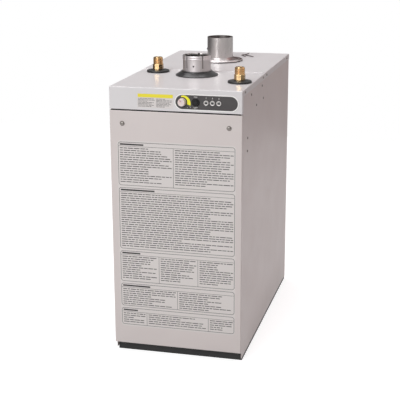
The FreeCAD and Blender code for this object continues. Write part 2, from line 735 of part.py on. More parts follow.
def power_switch():
    half = SWITCH_WIDTH / 2
    centre = V(BUTTON_X, Y_PLATE, Z_CONTROLS)
    body = box(BUTTON_X - half, BUTTON_X + half, Y_STRIP_BACK, Y_BOARD, Z_CONTROLS - half, Z_CONTROLS + half)
    bushing = rod(BUTTON_BUSHING_RADIUS, centre, BACK, BOARD_GAP)
    bore = BUTTON_RADIUS + LOOSE
    lip = BUTTON_COLLAR_HEIGHT
    collar = turned([(0, 0), (BUTTON_COLLAR_RADIUS, 0), (BUTTON_COLLAR_RADIUS, lip / 2),
                     (BUTTON_COLLAR_RADIUS - lip / 3, lip), (0, lip)], centre, FRONT)
    well = rod(bore, centre + FRONT * lip, BACK, lip + ESCUTCHEON_THICKNESS + SHEET + SWITCH_WELL)
    stem = rod(BUTTON_STEM_RADIUS + RUNNING, centre, BACK, Y_BOARD - Y_PLATE)
    return fused(body, bushing, collar).cut(well).cut(stem)


def power_button():
    front = V(BUTTON_X, Y_PLATE - BUTTON_PROUD, Z_CONTROLS)
    cap_length = BUTTON_PROUD + ESCUTCHEON_THICKNESS + SHEET + SWITCH_WELL - BUTTON_TRAVEL - 2 * LOOSE
    cap = turned([(0, BUTTON_RIM), (BUTTON_RADIUS - 3 * BUTTON_RIM, BUTTON_RIM), (BUTTON_RADIUS - 2 * BUTTON_RIM, 0),
                  (BUTTON_RADIUS - BUTTON_RIM, 0), (BUTTON_RADIUS, BUTTON_RIM), (BUTTON_RADIUS, cap_length),
                  (0, cap_length)], front, BACK)
    stem_end = Y_BOARD - BUTTON_TRAVEL - 2 * LOOSE
    return fused(cap, rod(BUTTON_STEM_RADIUS, front + BACK, BACK, stem_end - front.y - 1))


def lamp_bezels():
    edge = LAMP_BEZEL_EDGE
    lip = LAMP_BEZEL_LIP
    profile = [(LAMP_LENS_RADIUS, 0), (LAMP_BEZEL_RADIUS, 0), (LAMP_BEZEL_RADIUS, edge),
               (LAMP_BEZEL_RADIUS - edge, LAMP_BEZEL_HEIGHT), (LAMP_LENS_RADIUS + lip, LAMP_BEZEL_HEIGHT),
               (LAMP_LENS_RADIUS, LAMP_BEZEL_HEIGHT - lip)]
    return [turned(profile, V(x, Y_PLATE, Z_CONTROLS), FRONT) for x in lamp_places()]


def lamp_lenses():
    length = Y_BOARD - Y_PLATE
    rim = LAMP_BEZEL_HEIGHT / 4
    profile = [(0, -length), (LAMP_LENS_RADIUS, -length), (LAMP_LENS_RADIUS, rim),
               dome(LAMP_LENS_RADIUS, rim, LAMP_BEZEL_HEIGHT / 2)]
    return [turned(profile, V(x, Y_PLATE, Z_CONTROLS), FRONT) for x in lamp_places()]


def control_board():
    x0 = ESCUTCHEON_LEFT - BOARD_MARGIN
    x1 = ESCUTCHEON_RIGHT - 2 * BOARD_MARGIN
    z0 = Z_CONTROLS - BOARD_HEIGHT / 2
    z1 = Z_CONTROLS + BOARD_HEIGHT / 2
    pieces = [box(x0, x1, Y_BOARD, Y_BOARD + BOARD_THICKNESS, z0, z1)]
    inset = 2 * POST_RADIUS
    for x in (x0 + inset, x1 - inset):
        for z in (z0 + inset, z1 - inset):
            pieces.append(rod(POST_RADIUS, V(x, Y_STRIP_BACK, z), BACK, BOARD_GAP))
    return pieces


def water_nipple(x, y):
    base = V(x, y, Z_FRONT_COVER)
    top = COLLAR_LIFT + COLLAR_HEIGHT
    neck = rod(NIPPLE_NECK_RADIUS, base - UP * NIPPLE_NECK_DEPTH, UP, NIPPLE_NECK_DEPTH + COLLAR_LIFT)
    collar = even_bar(COLLAR_SIDES, COLLAR_FLATS, base + UP * COLLAR_LIFT, UP, COLLAR_HEIGHT)
    thread = turned([(0, top), (NIPPLE_RADIUS, top), (NIPPLE_RADIUS, top + NIPPLE_THREAD - NIPPLE_CHAMFER),
                     (NIPPLE_RADIUS - NIPPLE_CHAMFER, top + NIPPLE_THREAD), (0, top + NIPPLE_THREAD)], base)
    bore = rod(NIPPLE_BORE, base - UP * NIPPLE_NECK_DEPTH, UP, NIPPLE_NECK_DEPTH + top + NIPPLE_THREAD)
    return fused(neck, collar, thread).cut(bore)


def water_grommet(x, y):
    inner = NIPPLE_NECK_RADIUS + RUNNING
    well = COLLAR_CORNER + LOOSE
    profile = [(inner, -SHEET - GROMMET_TAIL), (GROMMET_HOLE + GROMMET_LIP, -SHEET - GROMMET_TAIL),
               (GROMMET_HOLE + GROMMET_LIP, -SHEET), (GROMMET_HOLE, -SHEET), (GROMMET_HOLE, 0),
               (GROMMET_RADIUS, 0), (GROMMET_RADIUS, GROMMET_RIM), (well + GROMMET_LIP, GROMMET_HEIGHT),
               (well, GROMMET_HEIGHT), (well, COLLAR_LIFT), (inner, COLLAR_LIFT)]
    return turned(profile, V(x, y, Z_FRONT_COVER))


def intake_pipe():
    """Stub with a smooth bore, two beads round its mouth and shallow bayonet channels down its outer face."""
    base = V(0, INTAKE_Y, Z_FRONT_COVER)
    inner = INTAKE_RADIUS - INTAKE_WALL
    rim = INTAKE_HEIGHT - 2 * INTAKE_BEAD
    profile = [(inner, -INTAKE_DEPTH), (INTAKE_RADIUS, -INTAKE_DEPTH), (INTAKE_RADIUS, rim)]
    for foot in (rim, rim + INTAKE_BEAD):
        profile.append((INTAKE_RIM_RADIUS, foot + INTAKE_BEAD / 2, INTAKE_RADIUS, foot + INTAKE_BEAD))
    pipe = turned(profile + [(inner, INTAKE_HEIGHT)], base)
    centre = inner + CHANNEL_FLOOR + CHANNEL_RADIUS
    for k in range(CHANNEL_COUNT):
        angle = math.radians(CHANNEL_TURN - 90 + 360 * (k + 0.5) / CHANNEL_COUNT)
        spot = base + V(math.cos(angle), math.sin(angle), 0) * centre + UP * (INTAKE_HEIGHT - CHANNEL_LENGTH)
        pipe = pipe.cut(rod(CHANNEL_RADIUS, spot, UP, CHANNEL_LENGTH))
    return pipe.cut(rod(INTAKE_HOLE_RADIUS, base + UP * INTAKE_HOLE_HEIGHT, FRONT, INTAKE_RADIUS))


def intake_boot():
    inner = INTAKE_RADIUS + LOOSE / 2
    rib = BOOT_RIB
    profile = [(inner, -SHEET - GROMMET_TAIL), (BOOT_HOLE + GROMMET_LIP, -SHEET - GROMMET_TAIL),
               (BOOT_HOLE + GROMMET_LIP, -SHEET), (BOOT_HOLE, -SHEET), (BOOT_HOLE, 0), (BOOT_RADIUS, 0),
               (BOOT_RADIUS, GROMMET_RIM), (inner + 2 * rib, BOOT_HEIGHT - rib),
               (inner + 1.7 * rib, BOOT_HEIGHT - 0.3 * rib, inner + rib, BOOT_HEIGHT), (inner, BOOT_HEIGHT)]
    return turned(profile, V(0, INTAKE_Y, Z_FRONT_COVER))


def exhaust_pipe():
    base = V(0, EXHAUST_Y, HOOD_Z1 + HOOD_SHEET)
    return tube(EXHAUST_RADIUS, EXHAUST_RADIUS - EXHAUST_WALL, base, UP, Z_TOP + EXHAUST_HEIGHT - base.z)


def exhaust_gasket():
    return tube(GASKET_RADIUS, EXHAUST_HOLE, V(0, EXHAUST_Y, Z_TOP), UP, GASKET_THICKNESS)


def exhaust_flange():
    """Pressed collar: rolled edge, a raised ring, then a hollow flare up to a short lip round the pipe."""
    inner = EXHAUST_RADIUS + LOOSE / 2
    lip = inner + FLANGE_SHEET
    z0 = GASKET_THICKNESS
    rim = z0 + FLANGE_SHEET
    top = z0 + FLANGE_HEIGHT
    edge = FLANGE_RADIUS - FLANGE_EDGE
    ring = FLANGE_RING_RADIUS
    half = FLANGE_RING_WIDTH / 2
    flare = (FLARE_RADIUS - lip, top - FLANGE_SHEET - rim)
    profile = [(inner, z0), (edge, z0), (FLANGE_RADIUS, z0 + FLANGE_EDGE, edge, z0 + 2 * FLANGE_EDGE),
               (edge - FLANGE_EDGE, rim), (ring + half, rim), (ring, rim + FLANGE_RING_HEIGHT, ring - half, rim),
               (FLARE_RADIUS, rim), (lip + 0.3 * flare[0], rim + 0.3 * flare[1], lip, rim + flare[1]),
               (lip, top), (inner, top)]
    return turned(profile, V(0, EXHAUST_Y, Z_TOP))


def flue_clip():
    """Bent wire clip that lies on the rear cover beside the exhaust flange."""
    wires = []
    for corners in (CLIP_LEG, CLIP_HOOK):
        path = [V(x, EXHAUST_Y + back, Z_TOP + CLIP_WIRE) for x, back in corners]
        wires.append(bent_tube(path, CLIP_BEND, CLIP_WIRE))
    return fused(*wires)


def boiler_shell():
    axis = V(0, BOILER_Y, BOILER_Z0)
    height = BOILER_Z1 - BOILER_Z0
    shell = tube(BOILER_RADIUS, BOILER_RADIUS - BOILER_WALL, axis, UP, height)
    shell = fused(shell, rod(BOILER_RADIUS, axis, UP, END_PLATE))
    middle = rod(BOILER_RADIUS - BOILER_WALL / 2, axis, UP, height)
    inside = rod(BOILER_RADIUS - BOILER_WALL, axis, UP, height)
    for place in port_places():
        boss = rod(PORT_RADIUS, place, BACK, BOILER_Y - place.y).cut(middle)
        shell = shell.fuse(boss).cut(rod(NIPPLE_BORE, place, BACK, BOILER_Y - place.y))
    pad = box(-LIMITER_PAD, LIMITER_PAD, BOILER_FRONT - 2 * END_PLATE, BOILER_Y,
              LIMITER_Z - LIMITER_PAD, LIMITER_Z + LIMITER_PAD).cut(inside)
    shell = shell.fuse(pad).removeSplitter()
    return shell.cut(rod(SLEEVE_RADIUS, V(0, MOUNT_Y, BURNER_Z), BACK, BOILER_Y - MOUNT_Y))


def port_places():
    return [V(PORT_X, INSULATION_FRONT, COLD_PORT_Z), V(-PORT_X, INSULATION_FRONT, DRAIN_Z),
            V(HOT_X, INSULATION_FRONT, HOT_PORT_Z)]


def combustion_chamber():
    axis = V(0, BOILER_Y, CHAMBER_Z0)
    inner = CHAMBER_RADIUS - BOILER_WALL
    body = rod(CHAMBER_RADIUS, axis, UP, CHAMBER_HEIGHT)
    sleeve = rod(SLEEVE_RADIUS, V(0, MOUNT_Y, BURNER_Z), BACK, BOILER_Y - MOUNT_Y)
    void = rod(inner, axis + UP * BOILER_WALL, UP, CHAMBER_HEIGHT - END_PLATE - BOILER_WALL)
    fire_hole = rod(SLEEVE_RADIUS - SLEEVE_WALL, V(0, MOUNT_Y, BURNER_Z), BACK, BOILER_Y - MOUNT_Y)
    chamber = fused(body, sleeve).cut(void).cut(fire_hole)
    for place in fire_tube_places():
        chamber = chamber.cut(rod(FIRE_TUBE_RADIUS - FIRE_TUBE_WALL, place - UP * END_PLATE, UP, END_PLATE))
    return chamber


def fire_tube_places():
    ring = CHAMBER_RADIUS - FIRE_TUBE_MARGIN + FIRE_TUBE_RADIUS / 2
    angles = [2 * math.pi * k / FIRE_TUBE_COUNT for k in range(FIRE_TUBE_COUNT)]
    return [V(ring * math.cos(a), BOILER_Y + ring * math.sin(a), CHAMBER_Z1) for a in angles]


def fire_tube_bundle():
    sheet = rod(BOILER_RADIUS - BOILER_WALL, V(0, BOILER_Y, BOILER_Z1 - END_PLATE), UP, END_PLATE)
    length = BOILER_Z1 - CHAMBER_Z1
    places = fire_tube_places()
    bundle = fused(sheet, *[rod(FIRE_TUBE_RADIUS, place, UP, length) for place in places])
    for place in places:
        bundle = bundle.cut(rod(FIRE_TUBE_RADIUS - FIRE_TUBE_WALL, place, UP, length))
    return bundle


def smoke_hood():
    flange = BOILER_RADIUS - 2 * HOOD_SHEET
    neck = EXHAUST_RADIUS + HOOD_SHEET
    seat = EXHAUST_RADIUS - EXHAUST_WALL / 2
    top = HOOD_HEIGHT
    foot = 4 * HOOD_SHEET
    profile = [(flange - foot, 0), (BOILER_RADIUS, 0), (BOILER_RADIUS, HOOD_SHEET), (flange, HOOD_SHEET),
               (flange, foot), (neck, top + HOOD_SHEET), (neck, top + HOOD_NECK), (EXHAUST_RADIUS, top + HOOD_NECK),
               (EXHAUST_RADIUS, top + HOOD_SHEET), (seat, top + HOOD_SHEET), (seat, top),
               (flange - HOOD_SHEET, foot - HOOD_SHEET), (flange - foot, foot - 2 * HOOD_SHEET)]
    return turned(profile, V(0, BOILER_Y, BOILER_Z1))


def boiler_insulation():
    wrap = tube(INSULATION_RADIUS, BOILER_RADIUS, V(0, BOILER_Y, BOILER_Z0), UP, BOILER_Z1 - BOILER_Z0)
    reach = BOILER_Y - INSULATION_FRONT
    wrap = wrap.cut(rod(SLEEVE_RADIUS + SLEEVE_GAP, V(0, INSULATION_FRONT, BURNER_Z), BACK, reach))
    for place in port_places():
        wrap = wrap.cut(rod(PORT_RADIUS + LOOSE, place, BACK, reach))
    window = LIMITER_PAD + LOOSE
    return wrap.cut(box(-window, window, INSULATION_FRONT, BOILER_Y, LIMITER_Z - window, LIMITER_Z + window))


def boiler_stand():
    outer = BOILER_RADIUS - STAND_INSET
    ring = tube(outer, outer - STAND_WALL, V(0, BOILER_Y, Z_TRAY), UP, BOILER_LIFT)
    reach = outer + STAND_WALL
    middle = Z_TRAY + BOILER_LIFT / 2
    for x_half, y_half in ((reach, STAND_WINDOW), (STAND_WINDOW, reach)):
        ring = ring.cut(box(-x_half, x_half, BOILER_Y - y_half, BOILER_Y + y_half,
                            middle - STAND_WINDOW / 2, middle + STAND_WINDOW / 2))
    return ring


def overheat_limiter():
    face = V(0, BOILER_FRONT - 2 * END_PLATE, LIMITER_Z)
    rim = LIMITER_RADIUS + LIMITER_RIM
    return turned([(0, 0), (rim, 0), (rim, LIMITER_RIM), (LIMITER_RADIUS, 2 * LIMITER_RIM),
                   (LIMITER_RADIUS, LIMITER_HEIGHT), (0, LIMITER_HEIGHT)], face, FRONT)


def burner_mounting_plate():
    half = MOUNT_PLATE_WIDTH / 2
    plate = box(-half, half, MOUNT_Y - MOUNT_PLATE, MOUNT_Y, BURNER_Z - half, BURNER_Z + half)
    plate = round_edges(plate, MOUNT_PLATE_CORNER, lambda p: near(abs(p.x), half), BACK)
    return plate.cut(rod(BURNER_RADIUS, V(0, MOUNT_Y - MOUNT_PLATE, BURNER_Z), BACK, MOUNT_PLATE))


def burner_tube():
    length = BOILER_FRONT + BURNER_PLUNGE - FAN_OUTLET_Y
    start = V(0, FAN_OUTLET_Y, BURNER_Z)
    half = BURNER_FLANGE / 2
    flange = box(-half, half, FAN_OUTLET_Y, FAN_OUTLET_Y + MOUNT_PLATE, BURNER_Z - half, BURNER_Z + half)
    body = fused(flange, rod(BURNER_RADIUS, start, BACK, length))
    body = body.cut(rod(BURNER_RADIUS - BURNER_WALL, start, BACK, length))
    body = body.cut(rod(NOZZLE_RADIUS, V(0, NOZZLE_Y, NOZZLE_Z0), UP, NOZZLE_DROP))
    body = body.cut(rod(SENSOR_RADIUS, V(0, NOZZLE_Y, BURNER_Z), RIGHT, BURNER_RADIUS + BURNER_WALL))
    for x in (-ELECTRODE_SPREAD, ELECTRODE_SPREAD):
        body = body.cut(rod(ELECTRODE_RADIUS, V(x, NOZZLE_Y, BURNER_Z), UP, BURNER_RADIUS + BURNER_WALL))
    return body


def nozzle_line():
    """Brass line that rises into the burner tube, turns towards the fire and ends in the spray nozzle."""
    tip_y = DIFFUSER_Y - NOZZLE_TIP
    hexes = hexagon(2.4 * NOZZLE_RADIUS, V(0, tip_y - 2 * NOZZLE_RADIUS, BURNER_Z), BACK, 1.6 * NOZZLE_RADIUS)
    seat = V(0, tip_y - NOZZLE_RADIUS / 3, BURNER_Z)
    tip = turned([(0, 0), (NOZZLE_RADIUS, 0), (NOZZLE_RADIUS, NOZZLE_RADIUS / 2), (NOZZLE_RADIUS / 4, NOZZLE_NOSE),
                  (0, NOZZLE_NOSE)], seat, BACK)
    line = bent_tube([V(0, NOZZLE_Y, NOZZLE_Z0), V(0, NOZZLE_Y, BURNER_Z), seat],
                     2 * NOZZLE_RADIUS, NOZZLE_RADIUS)
    return fused(line, hexes, tip)


def flame_diffuser():
    """Slotted swirl disc on three arms from a hub clamped on the nozzle line."""
    outer = BURNER_RADIUS - BURNER_WALL - DIFFUSER_GAP
    disc = tube(outer, DIFFUSER_BORE, V(0, DIFFUSER_Y, BURNER_Z), BACK, DIFFUSER_SHEET)
    half = DIFFUSER_SLOT / 2
    for k in range(DIFFUSER_SLOTS):
        slot = box(DIFFUSER_BORE + DIFFUSER_RIM, outer - DIFFUSER_RIM, DIFFUSER_Y, DIFFUSER_Y + DIFFUSER_SHEET,
                   BURNER_Z - half, BURNER_Z + half)
        slot.rotate(V(0, 0, BURNER_Z), BACK, 360.0 / DIFFUSER_SLOTS * k + DIFFUSER_TURN)
        disc = disc.cut(slot)
    hub_y = DIFFUSER_Y - NOZZLE_TIP - DIFFUSER_ARM
    hub = tube(1.5 * NOZZLE_RADIUS, NOZZLE_RADIUS, V(0, hub_y, BURNER_Z), BACK, 1.6 * NOZZLE_RADIUS)
    low = BURNER_Z - DIFFUSER_ARM_WIDTH / 2
    high = BURNER_Z + DIFFUSER_ARM_WIDTH / 2
    near_side = DIFFUSER_BORE + DIFFUSER_SHEET
    far_side = near_side + DIFFUSER_ARM_SHEET
    arms = []
    for k in range(DIFFUSER_ARMS):
        foot = box(NOZZLE_RADIUS + DIFFUSER_SHEET, far_side, hub_y, hub_y + DIFFUSER_ARM_SHEET, low, high)
        post = box(near_side, far_side, hub_y, DIFFUSER_Y, low, high)
        for piece in (foot, post):
            piece.rotate(V(0, 0, BURNER_Z), BACK, 360.0 / DIFFUSER_ARMS * k + 3 * DIFFUSER_TURN)
            arms.append(piece)
    return fused(disc, hub, *arms)


def ignition_electrodes():
    """Two porcelain rods with their tips bent towards the nozzle and leads up to the transformer."""
    electrodes = []
    z = BURNER_Z + ELECTRODE_RISE
    front = DIFFUSER_Y - NOZZLE_TIP - ELECTRODE_GAP
    thin = 2 * ELECTRODE_TIP
    rise = math.sqrt(BURNER_RADIUS ** 2 - (ELECTRODE_SPREAD + ELECTRODE_RADIUS) ** 2)
    for side in (-1, 1):
        x = side * ELECTRODE_SPREAD
        porcelain = bent_tube([V(x, NOZZLE_Y, BURNER_Z + rise), V(x, NOZZLE_Y, z), V(x, front, z)],
                              2 * ELECTRODE_RADIUS, ELECTRODE_RADIUS)
        wire = bent_tube([V(x, front - thin, z), V(x, DIFFUSER_Y - thin, z),
                          V(side * ELECTRODE_GAP / 2, DIFFUSER_Y + thin, z - ELECTRODE_RISE / 2)],
                         ELECTRODE_GAP / 2, ELECTRODE_TIP)
        electrodes.append(fused(porcelain, wire))
    return electrodes


def ignition_transformer():
    """Potted block on a saddle that fits the top of the burner tube."""
    half = IGNITER_WIDTH / 2
    y0 = FAN_OUTLET_Y + MOUNT_PLATE
    y1 = MOUNT_Y - MOUNT_PLATE
    z0 = BURNER_Z + BURNER_RADIUS
    block = box(-half, half, y0, y1, z0 - IGNITER_SADDLE, z0 + IGNITER_HEIGHT)
    block = round_edges(block, IGNITER_CORNER, lambda p: near(abs(p.x), half) and p.z > z0)
    return block.cut(rod(BURNER_RADIUS, V(0, y0, BURNER_Z), BACK, y1 - y0)).cut(
        box(-half, half, y0, y0 + MOUNT_PLATE, z0 - IGNITER_SADDLE, BURNER_Z + BURNER_FLANGE / 2))


def flame_sensor():
    place = V(BURNER_RADIUS - SENSOR_COLLAR, NOZZLE_Y, BURNER_Z)
    collar = SENSOR_RADIUS + SENSOR_COLLAR
    return turned([(0, 0), (SENSOR_RADIUS, 0), (SENSOR_RADIUS, SENSOR_NECK), (collar, SENSOR_NECK),
                   (collar, SENSOR_NECK + 2 * SENSOR_COLLAR), (SENSOR_RADIUS, SENSOR_NECK + 3 * SENSOR_COLLAR),
                   (SENSOR_RADIUS, SENSOR_LENGTH), (0, SENSOR_LENGTH)], place, RIGHT)


def scroll_face(inset, x):
    """Volute outline in three quarter arcs of growing radius, then a straight outlet towards the fire."""
    def at(centre, radius, degrees):
        a = math.radians(degrees)
        return V(x, centre[0] + radius * math.cos(a), centre[1] + radius * math.sin(a))
    centre = (FAN_Y, FAN_Z)
    radius = SCROLL_START + SCROLL_STEP / 2 - inset
    points = [at(centre, radius, 0)]
    for k in range(3):
        start = -90 * k
        points.append((at(centre, radius, start - 45), at(centre, radius, start - 90)))
        a = math.radians(start - 90)
        centre = (centre[0] - SCROLL_STEP * math.cos(a), centre[1] - SCROLL_STEP * math.sin(a))
        radius += SCROLL_STEP
    top = points[-1][1]
    floor = FAN_Z + SCROLL_THROAT + inset
    points += [V(x, FAN_OUTLET_Y, top.z), V(x, FAN_OUTLET_Y, floor), V(x, points[0].y, floor)]
    return flat_face(points)


def blower_housing():
    half = SCROLL_WIDTH / 2
    outer = scroll_face(0, -half).extrude(RIGHT * SCROLL_WIDTH)
    inner = scroll_face(SCROLL_WALL, -half + SCROLL_WALL).extrude(RIGHT * (SCROLL_WIDTH - 2 * SCROLL_WALL))
    flange_half = BURNER_FLANGE / 2
    flange = box(-flange_half, flange_half, FAN_OUTLET_Y - MOUNT_PLATE, FAN_OUTLET_Y,
                 BURNER_Z - flange_half, BURNER_Z + flange_half)
    housing = fused(outer, flange).cut(inner)
    housing = housing.cut(rod(SCROLL_INLET, V(half - SCROLL_WALL, FAN_Y, FAN_Z), RIGHT, SCROLL_WALL))
    return housing.cut(rod(2 * FAN_SHAFT_RADIUS, V(-half, FAN_Y, FAN_Z), RIGHT, SCROLL_WALL))


def blower_impeller():
    """Squirrel-cage wheel: back disc and hub, forward-curved blades and a front ring, on its shaft."""
    x0 = -FAN_WIDTH / 2
    middle = V(x0, FAN_Y, FAN_Z)
    disc = rod(FAN_RADIUS, middle, RIGHT, FAN_DISC)
    hub = rod(FAN_HUB_RADIUS, middle, RIGHT, FAN_WIDTH / 2)
    ring = tube(FAN_RADIUS, FAN_RADIUS - BLADE_DEPTH, V(x0 + FAN_WIDTH - FAN_DISC, FAN_Y, FAN_Z), RIGHT, FAN_DISC)
    inner = FAN_RADIUS - BLADE_DEPTH + BLADE_SHEET / 2
    outer = FAN_RADIUS - BLADE_SHEET / 4
    pitch = 360.0 / FAN_BLADES

    def at(radius, degrees):
        a = math.radians(degrees)
        return V(x0 + FAN_DISC / 2, FAN_Y + radius * math.cos(a), FAN_Z + radius * math.sin(a))

    thick = math.degrees(BLADE_SHEET / FAN_RADIUS)
    middle_radius = (inner + outer) / 2
    sweep = 0.35 * BLADE_LEAD
    blades = []
    for k in range(FAN_BLADES):
        a = k * pitch
        outline = flat_face([at(inner, a), (at(middle_radius, a - sweep), at(outer, a - BLADE_LEAD)),
                             at(outer, a - BLADE_LEAD + thick),
                             (at(middle_radius, a - sweep + thick), at(inner, a + thick))])
        blades.append(outline.extrude(RIGHT * (FAN_WIDTH - FAN_DISC)))
    shaft_start = -SCROLL_WIDTH / 2 - MOTOR_LENGTH / 2
    shaft = rod(FAN_SHAFT_RADIUS, V(shaft_start, FAN_Y, FAN_Z), RIGHT, x0 + FAN_WIDTH / 2 - shaft_start)
    return fused(disc, hub, ring, shaft, *blades)


def blower_motor():
    place = V(-SCROLL_WIDTH / 2, FAN_Y, FAN_Z)
    end_bell = 0.7 * MOTOR_RADIUS
    can = MOTOR_RADIUS - MOTOR_RIM
    motor = turned([(0, 0), (MOTOR_RADIUS, 0), (MOTOR_RADIUS, MOTOR_RIM), (can, 2 * MOTOR_RIM),
                    (can, MOTOR_LENGTH - 4 * MOTOR_RIM), (end_bell, MOTOR_LENGTH - MOTOR_RIM),
                    (end_bell, MOTOR_LENGTH), (0, MOTOR_LENGTH)], place, RIGHT * -1)
    return motor.cut(rod(FAN_SHAFT_RADIUS + RUNNING, place, RIGHT * -1, MOTOR_LENGTH / 2 + LOOSE))


def air_inlet_box():
    x0 = SCROLL_WIDTH / 2
    x1 = x0 + INLET_BOX_WIDTH
    half = INLET_BOX_HALF
    shell = box(x0, x1, FAN_Y - half, FAN_Y + half, FAN_Z - half, FAN_Z + half)
    shell = round_edges(shell, INLET_BOX_CORNER, lambda p: near(p.x, x1))
    wall = INLET_BOX_WALL
    hollow = box(x0 + wall, x1 - wall, FAN_Y - half + wall, FAN_Y + half - wall,
                 FAN_Z - half + wall, FAN_Z + half - wall)
    hollow = round_edges(hollow, INLET_BOX_CORNER - wall, lambda p: near(p.x, x1 - wall))
    shell = shell.cut(hollow).cut(rod(SCROLL_INLET, V(x0, FAN_Y, FAN_Z), RIGHT, wall))
    return shell.cut(rod(DUCT_RADIUS - DUCT_WALL, V(INLET_BOX_X, FAN_Y, INLET_BOX_TOP - wall), UP, wall))


def intake_duct():
    """Thin metal duct from the foot of the intake stub down to the blower's inlet box."""
    top = Z_FRONT_COVER - INTAKE_DEPTH
    neck = top - REDUCER_HEIGHT
    drop = neck - INLET_BOX_TOP
    points = [V(0, INTAKE_Y, neck), V(0, INTAKE_Y, neck - 0.15 * drop),
              V(INLET_BOX_X, FAN_Y, neck - 0.45 * drop), V(INLET_BOX_X, FAN_Y, INLET_BOX_TOP)]
    run = bent_tube(points, DUCT_BEND, DUCT_RADIUS, DUCT_RADIUS - DUCT_WALL)
    inner = DUCT_RADIUS - DUCT_WALL
    reducer = turned([(inner, neck), (DUCT_RADIUS, neck), (INTAKE_RADIUS, top), (INTAKE_RADIUS - DUCT_WALL, top)],
                     V(0, INTAKE_Y, 0))
    return fused(run, reducer)


def fuel_inlet_fitting():
    wall = V(FUEL_X, Y_SIDE_BACK, FUEL_Z)
    reach = SHEET + FUEL_FITTING_NUT + FUEL_FITTING_LENGTH
    outside = hexagon(FUEL_FITTING_FLATS, wall + BACK * SHEET, BACK, FUEL_FITTING_NUT)
    thread = rod(FUEL_FITTING_RADIUS, wall, BACK, reach)
    inside = hexagon(FUEL_FITTING_FLATS, wall - BACK * FUEL_FITTING_TAIL, BACK, FUEL_FITTING_TAIL)
    bore = rod(FUEL_LINE_BORE, wall - BACK * FUEL_FITTING_TAIL, BACK, FUEL_FITTING_TAIL + reach)
    return fused(outside, thread, inside).cut(bore)


def fuel_strainer():
    """In-line cup strainer on a foot bolted to the base."""
    half = STRAINER_LENGTH / 2
    neck = STRAINER_NECK
    cup = half - STRAINER_END
    straight = half - 1.25 * STRAINER_END
    body = turned([(0, -half), (neck, -half), (neck, -cup), (STRAINER_RADIUS, -straight),
                   (STRAINER_RADIUS, straight), (neck, cup), (neck, half), (0, half)],
                  V(FUEL_X, STRAINER_Y, FUEL_Z), BACK)
    foot = box(FUEL_X - STRAINER_RADIUS / 2, FUEL_X + STRAINER_RADIUS / 2,
               STRAINER_Y - STRAINER_LENGTH / 6, STRAINER_Y + STRAINER_LENGTH / 6, Z_TRAY, FUEL_Z)
    return fused(body, foot)


def fuel_pump():
    """Solenoid pump: round coil can on a neck and a square foot, with a hexagon end on top."""
    base = V(PUMP_X, PUMP_Y, Z_TRAY)
    foot = box(PUMP_X - PUMP_RADIUS, PUMP_X + PUMP_RADIUS, PUMP_Y - PUMP_RADIUS, PUMP_Y + PUMP_RADIUS,
               Z_TRAY, Z_TRAY + PUMP_FOOT)
    lower = rod(PUMP_NECK, base, UP, PUMP_STAND)
    top = PUMP_HEIGHT - PUMP_END
    can = turned([(0, PUMP_STAND), (PUMP_RADIUS, PUMP_STAND), (PUMP_RADIUS, top - PUMP_EDGE),
                  (PUMP_RADIUS - PUMP_EDGE, top), (0, top)], base)
    upper = hexagon(PUMP_END_FLATS, base + UP * top, UP, PUMP_END)
    return fused(foot, lower, can, upper)


def fuel_lines():
    strainer_front = STRAINER_Y - STRAINER_LENGTH / 2
    strainer_back = STRAINER_Y + STRAINER_LENGTH / 2
    supply = tube(FUEL_LINE_RADIUS, FUEL_LINE_BORE, V(FUEL_X, strainer_back, FUEL_Z), BACK,
                  Y_SIDE_BACK - FUEL_FITTING_TAIL - strainer_back)
    port_z = Z_TRAY + PUMP_STAND / 2
    suction = bent_tube([V(FUEL_X, strainer_front, FUEL_Z), V(FUEL_X, strainer_front - SUCTION_RUN, FUEL_Z),
                         V(FUEL_X, PUMP_Y + PUMP_APPROACH, port_z), V(FUEL_X, PUMP_Y, port_z),
                         V(PUMP_X + PUMP_NECK, PUMP_Y, port_z)],
                        SUCTION_BEND, FUEL_LINE_RADIUS, FUEL_LINE_BORE)
    feed_z = NOZZLE_Z0 + NOZZLE_RADIUS
    feed = bent_tube([V(PUMP_X, PUMP_Y, PUMP_Z1), V(PUMP_X, PUMP_Y, feed_z), V(PUMP_X, NOZZLE_Y, feed_z),
                      V(NOZZLE_RADIUS, NOZZLE_Y, feed_z)], FUEL_LINE_BEND, FUEL_LINE_RADIUS, FUEL_LINE_BORE)
    return [supply, suction, feed]


def cold_water_pipes():
    top = Z_FRONT_COVER - NIPPLE_NECK_DEPTH
    upper = tube(PIPE_RADIUS, NIPPLE_BORE, V(COLD_X, COLD_Y, FLOW_Z1), UP, top - FLOW_Z1)
    run = (INSULATION_FRONT - COLD_Y) / 3
    lower = bent_tube([V(COLD_X, COLD_Y, FLOW_Z0), V(COLD_X, COLD_Y, COLD_PORT_Z),
                       V(COLD_X, COLD_Y + run, COLD_PORT_Z), V(PORT_X, COLD_Y + 2 * run, COLD_PORT_Z),
                       V(PORT_X, INSULATION_FRONT, COLD_PORT_Z)],
                      PIPE_BEND, PIPE_RADIUS, NIPPLE_BORE)
    return [upper, lower]


def hot_water_pipe():
    return bent_tube([V(HOT_X, INSULATION_FRONT, HOT_PORT_Z), V(HOT_X, HOT_Y, HOT_PORT_Z),
                      V(HOT_X, HOT_Y, Z_FRONT_COVER - NIPPLE_NECK_DEPTH)], PIPE_BEND, PIPE_RADIUS, NIPPLE_BORE)


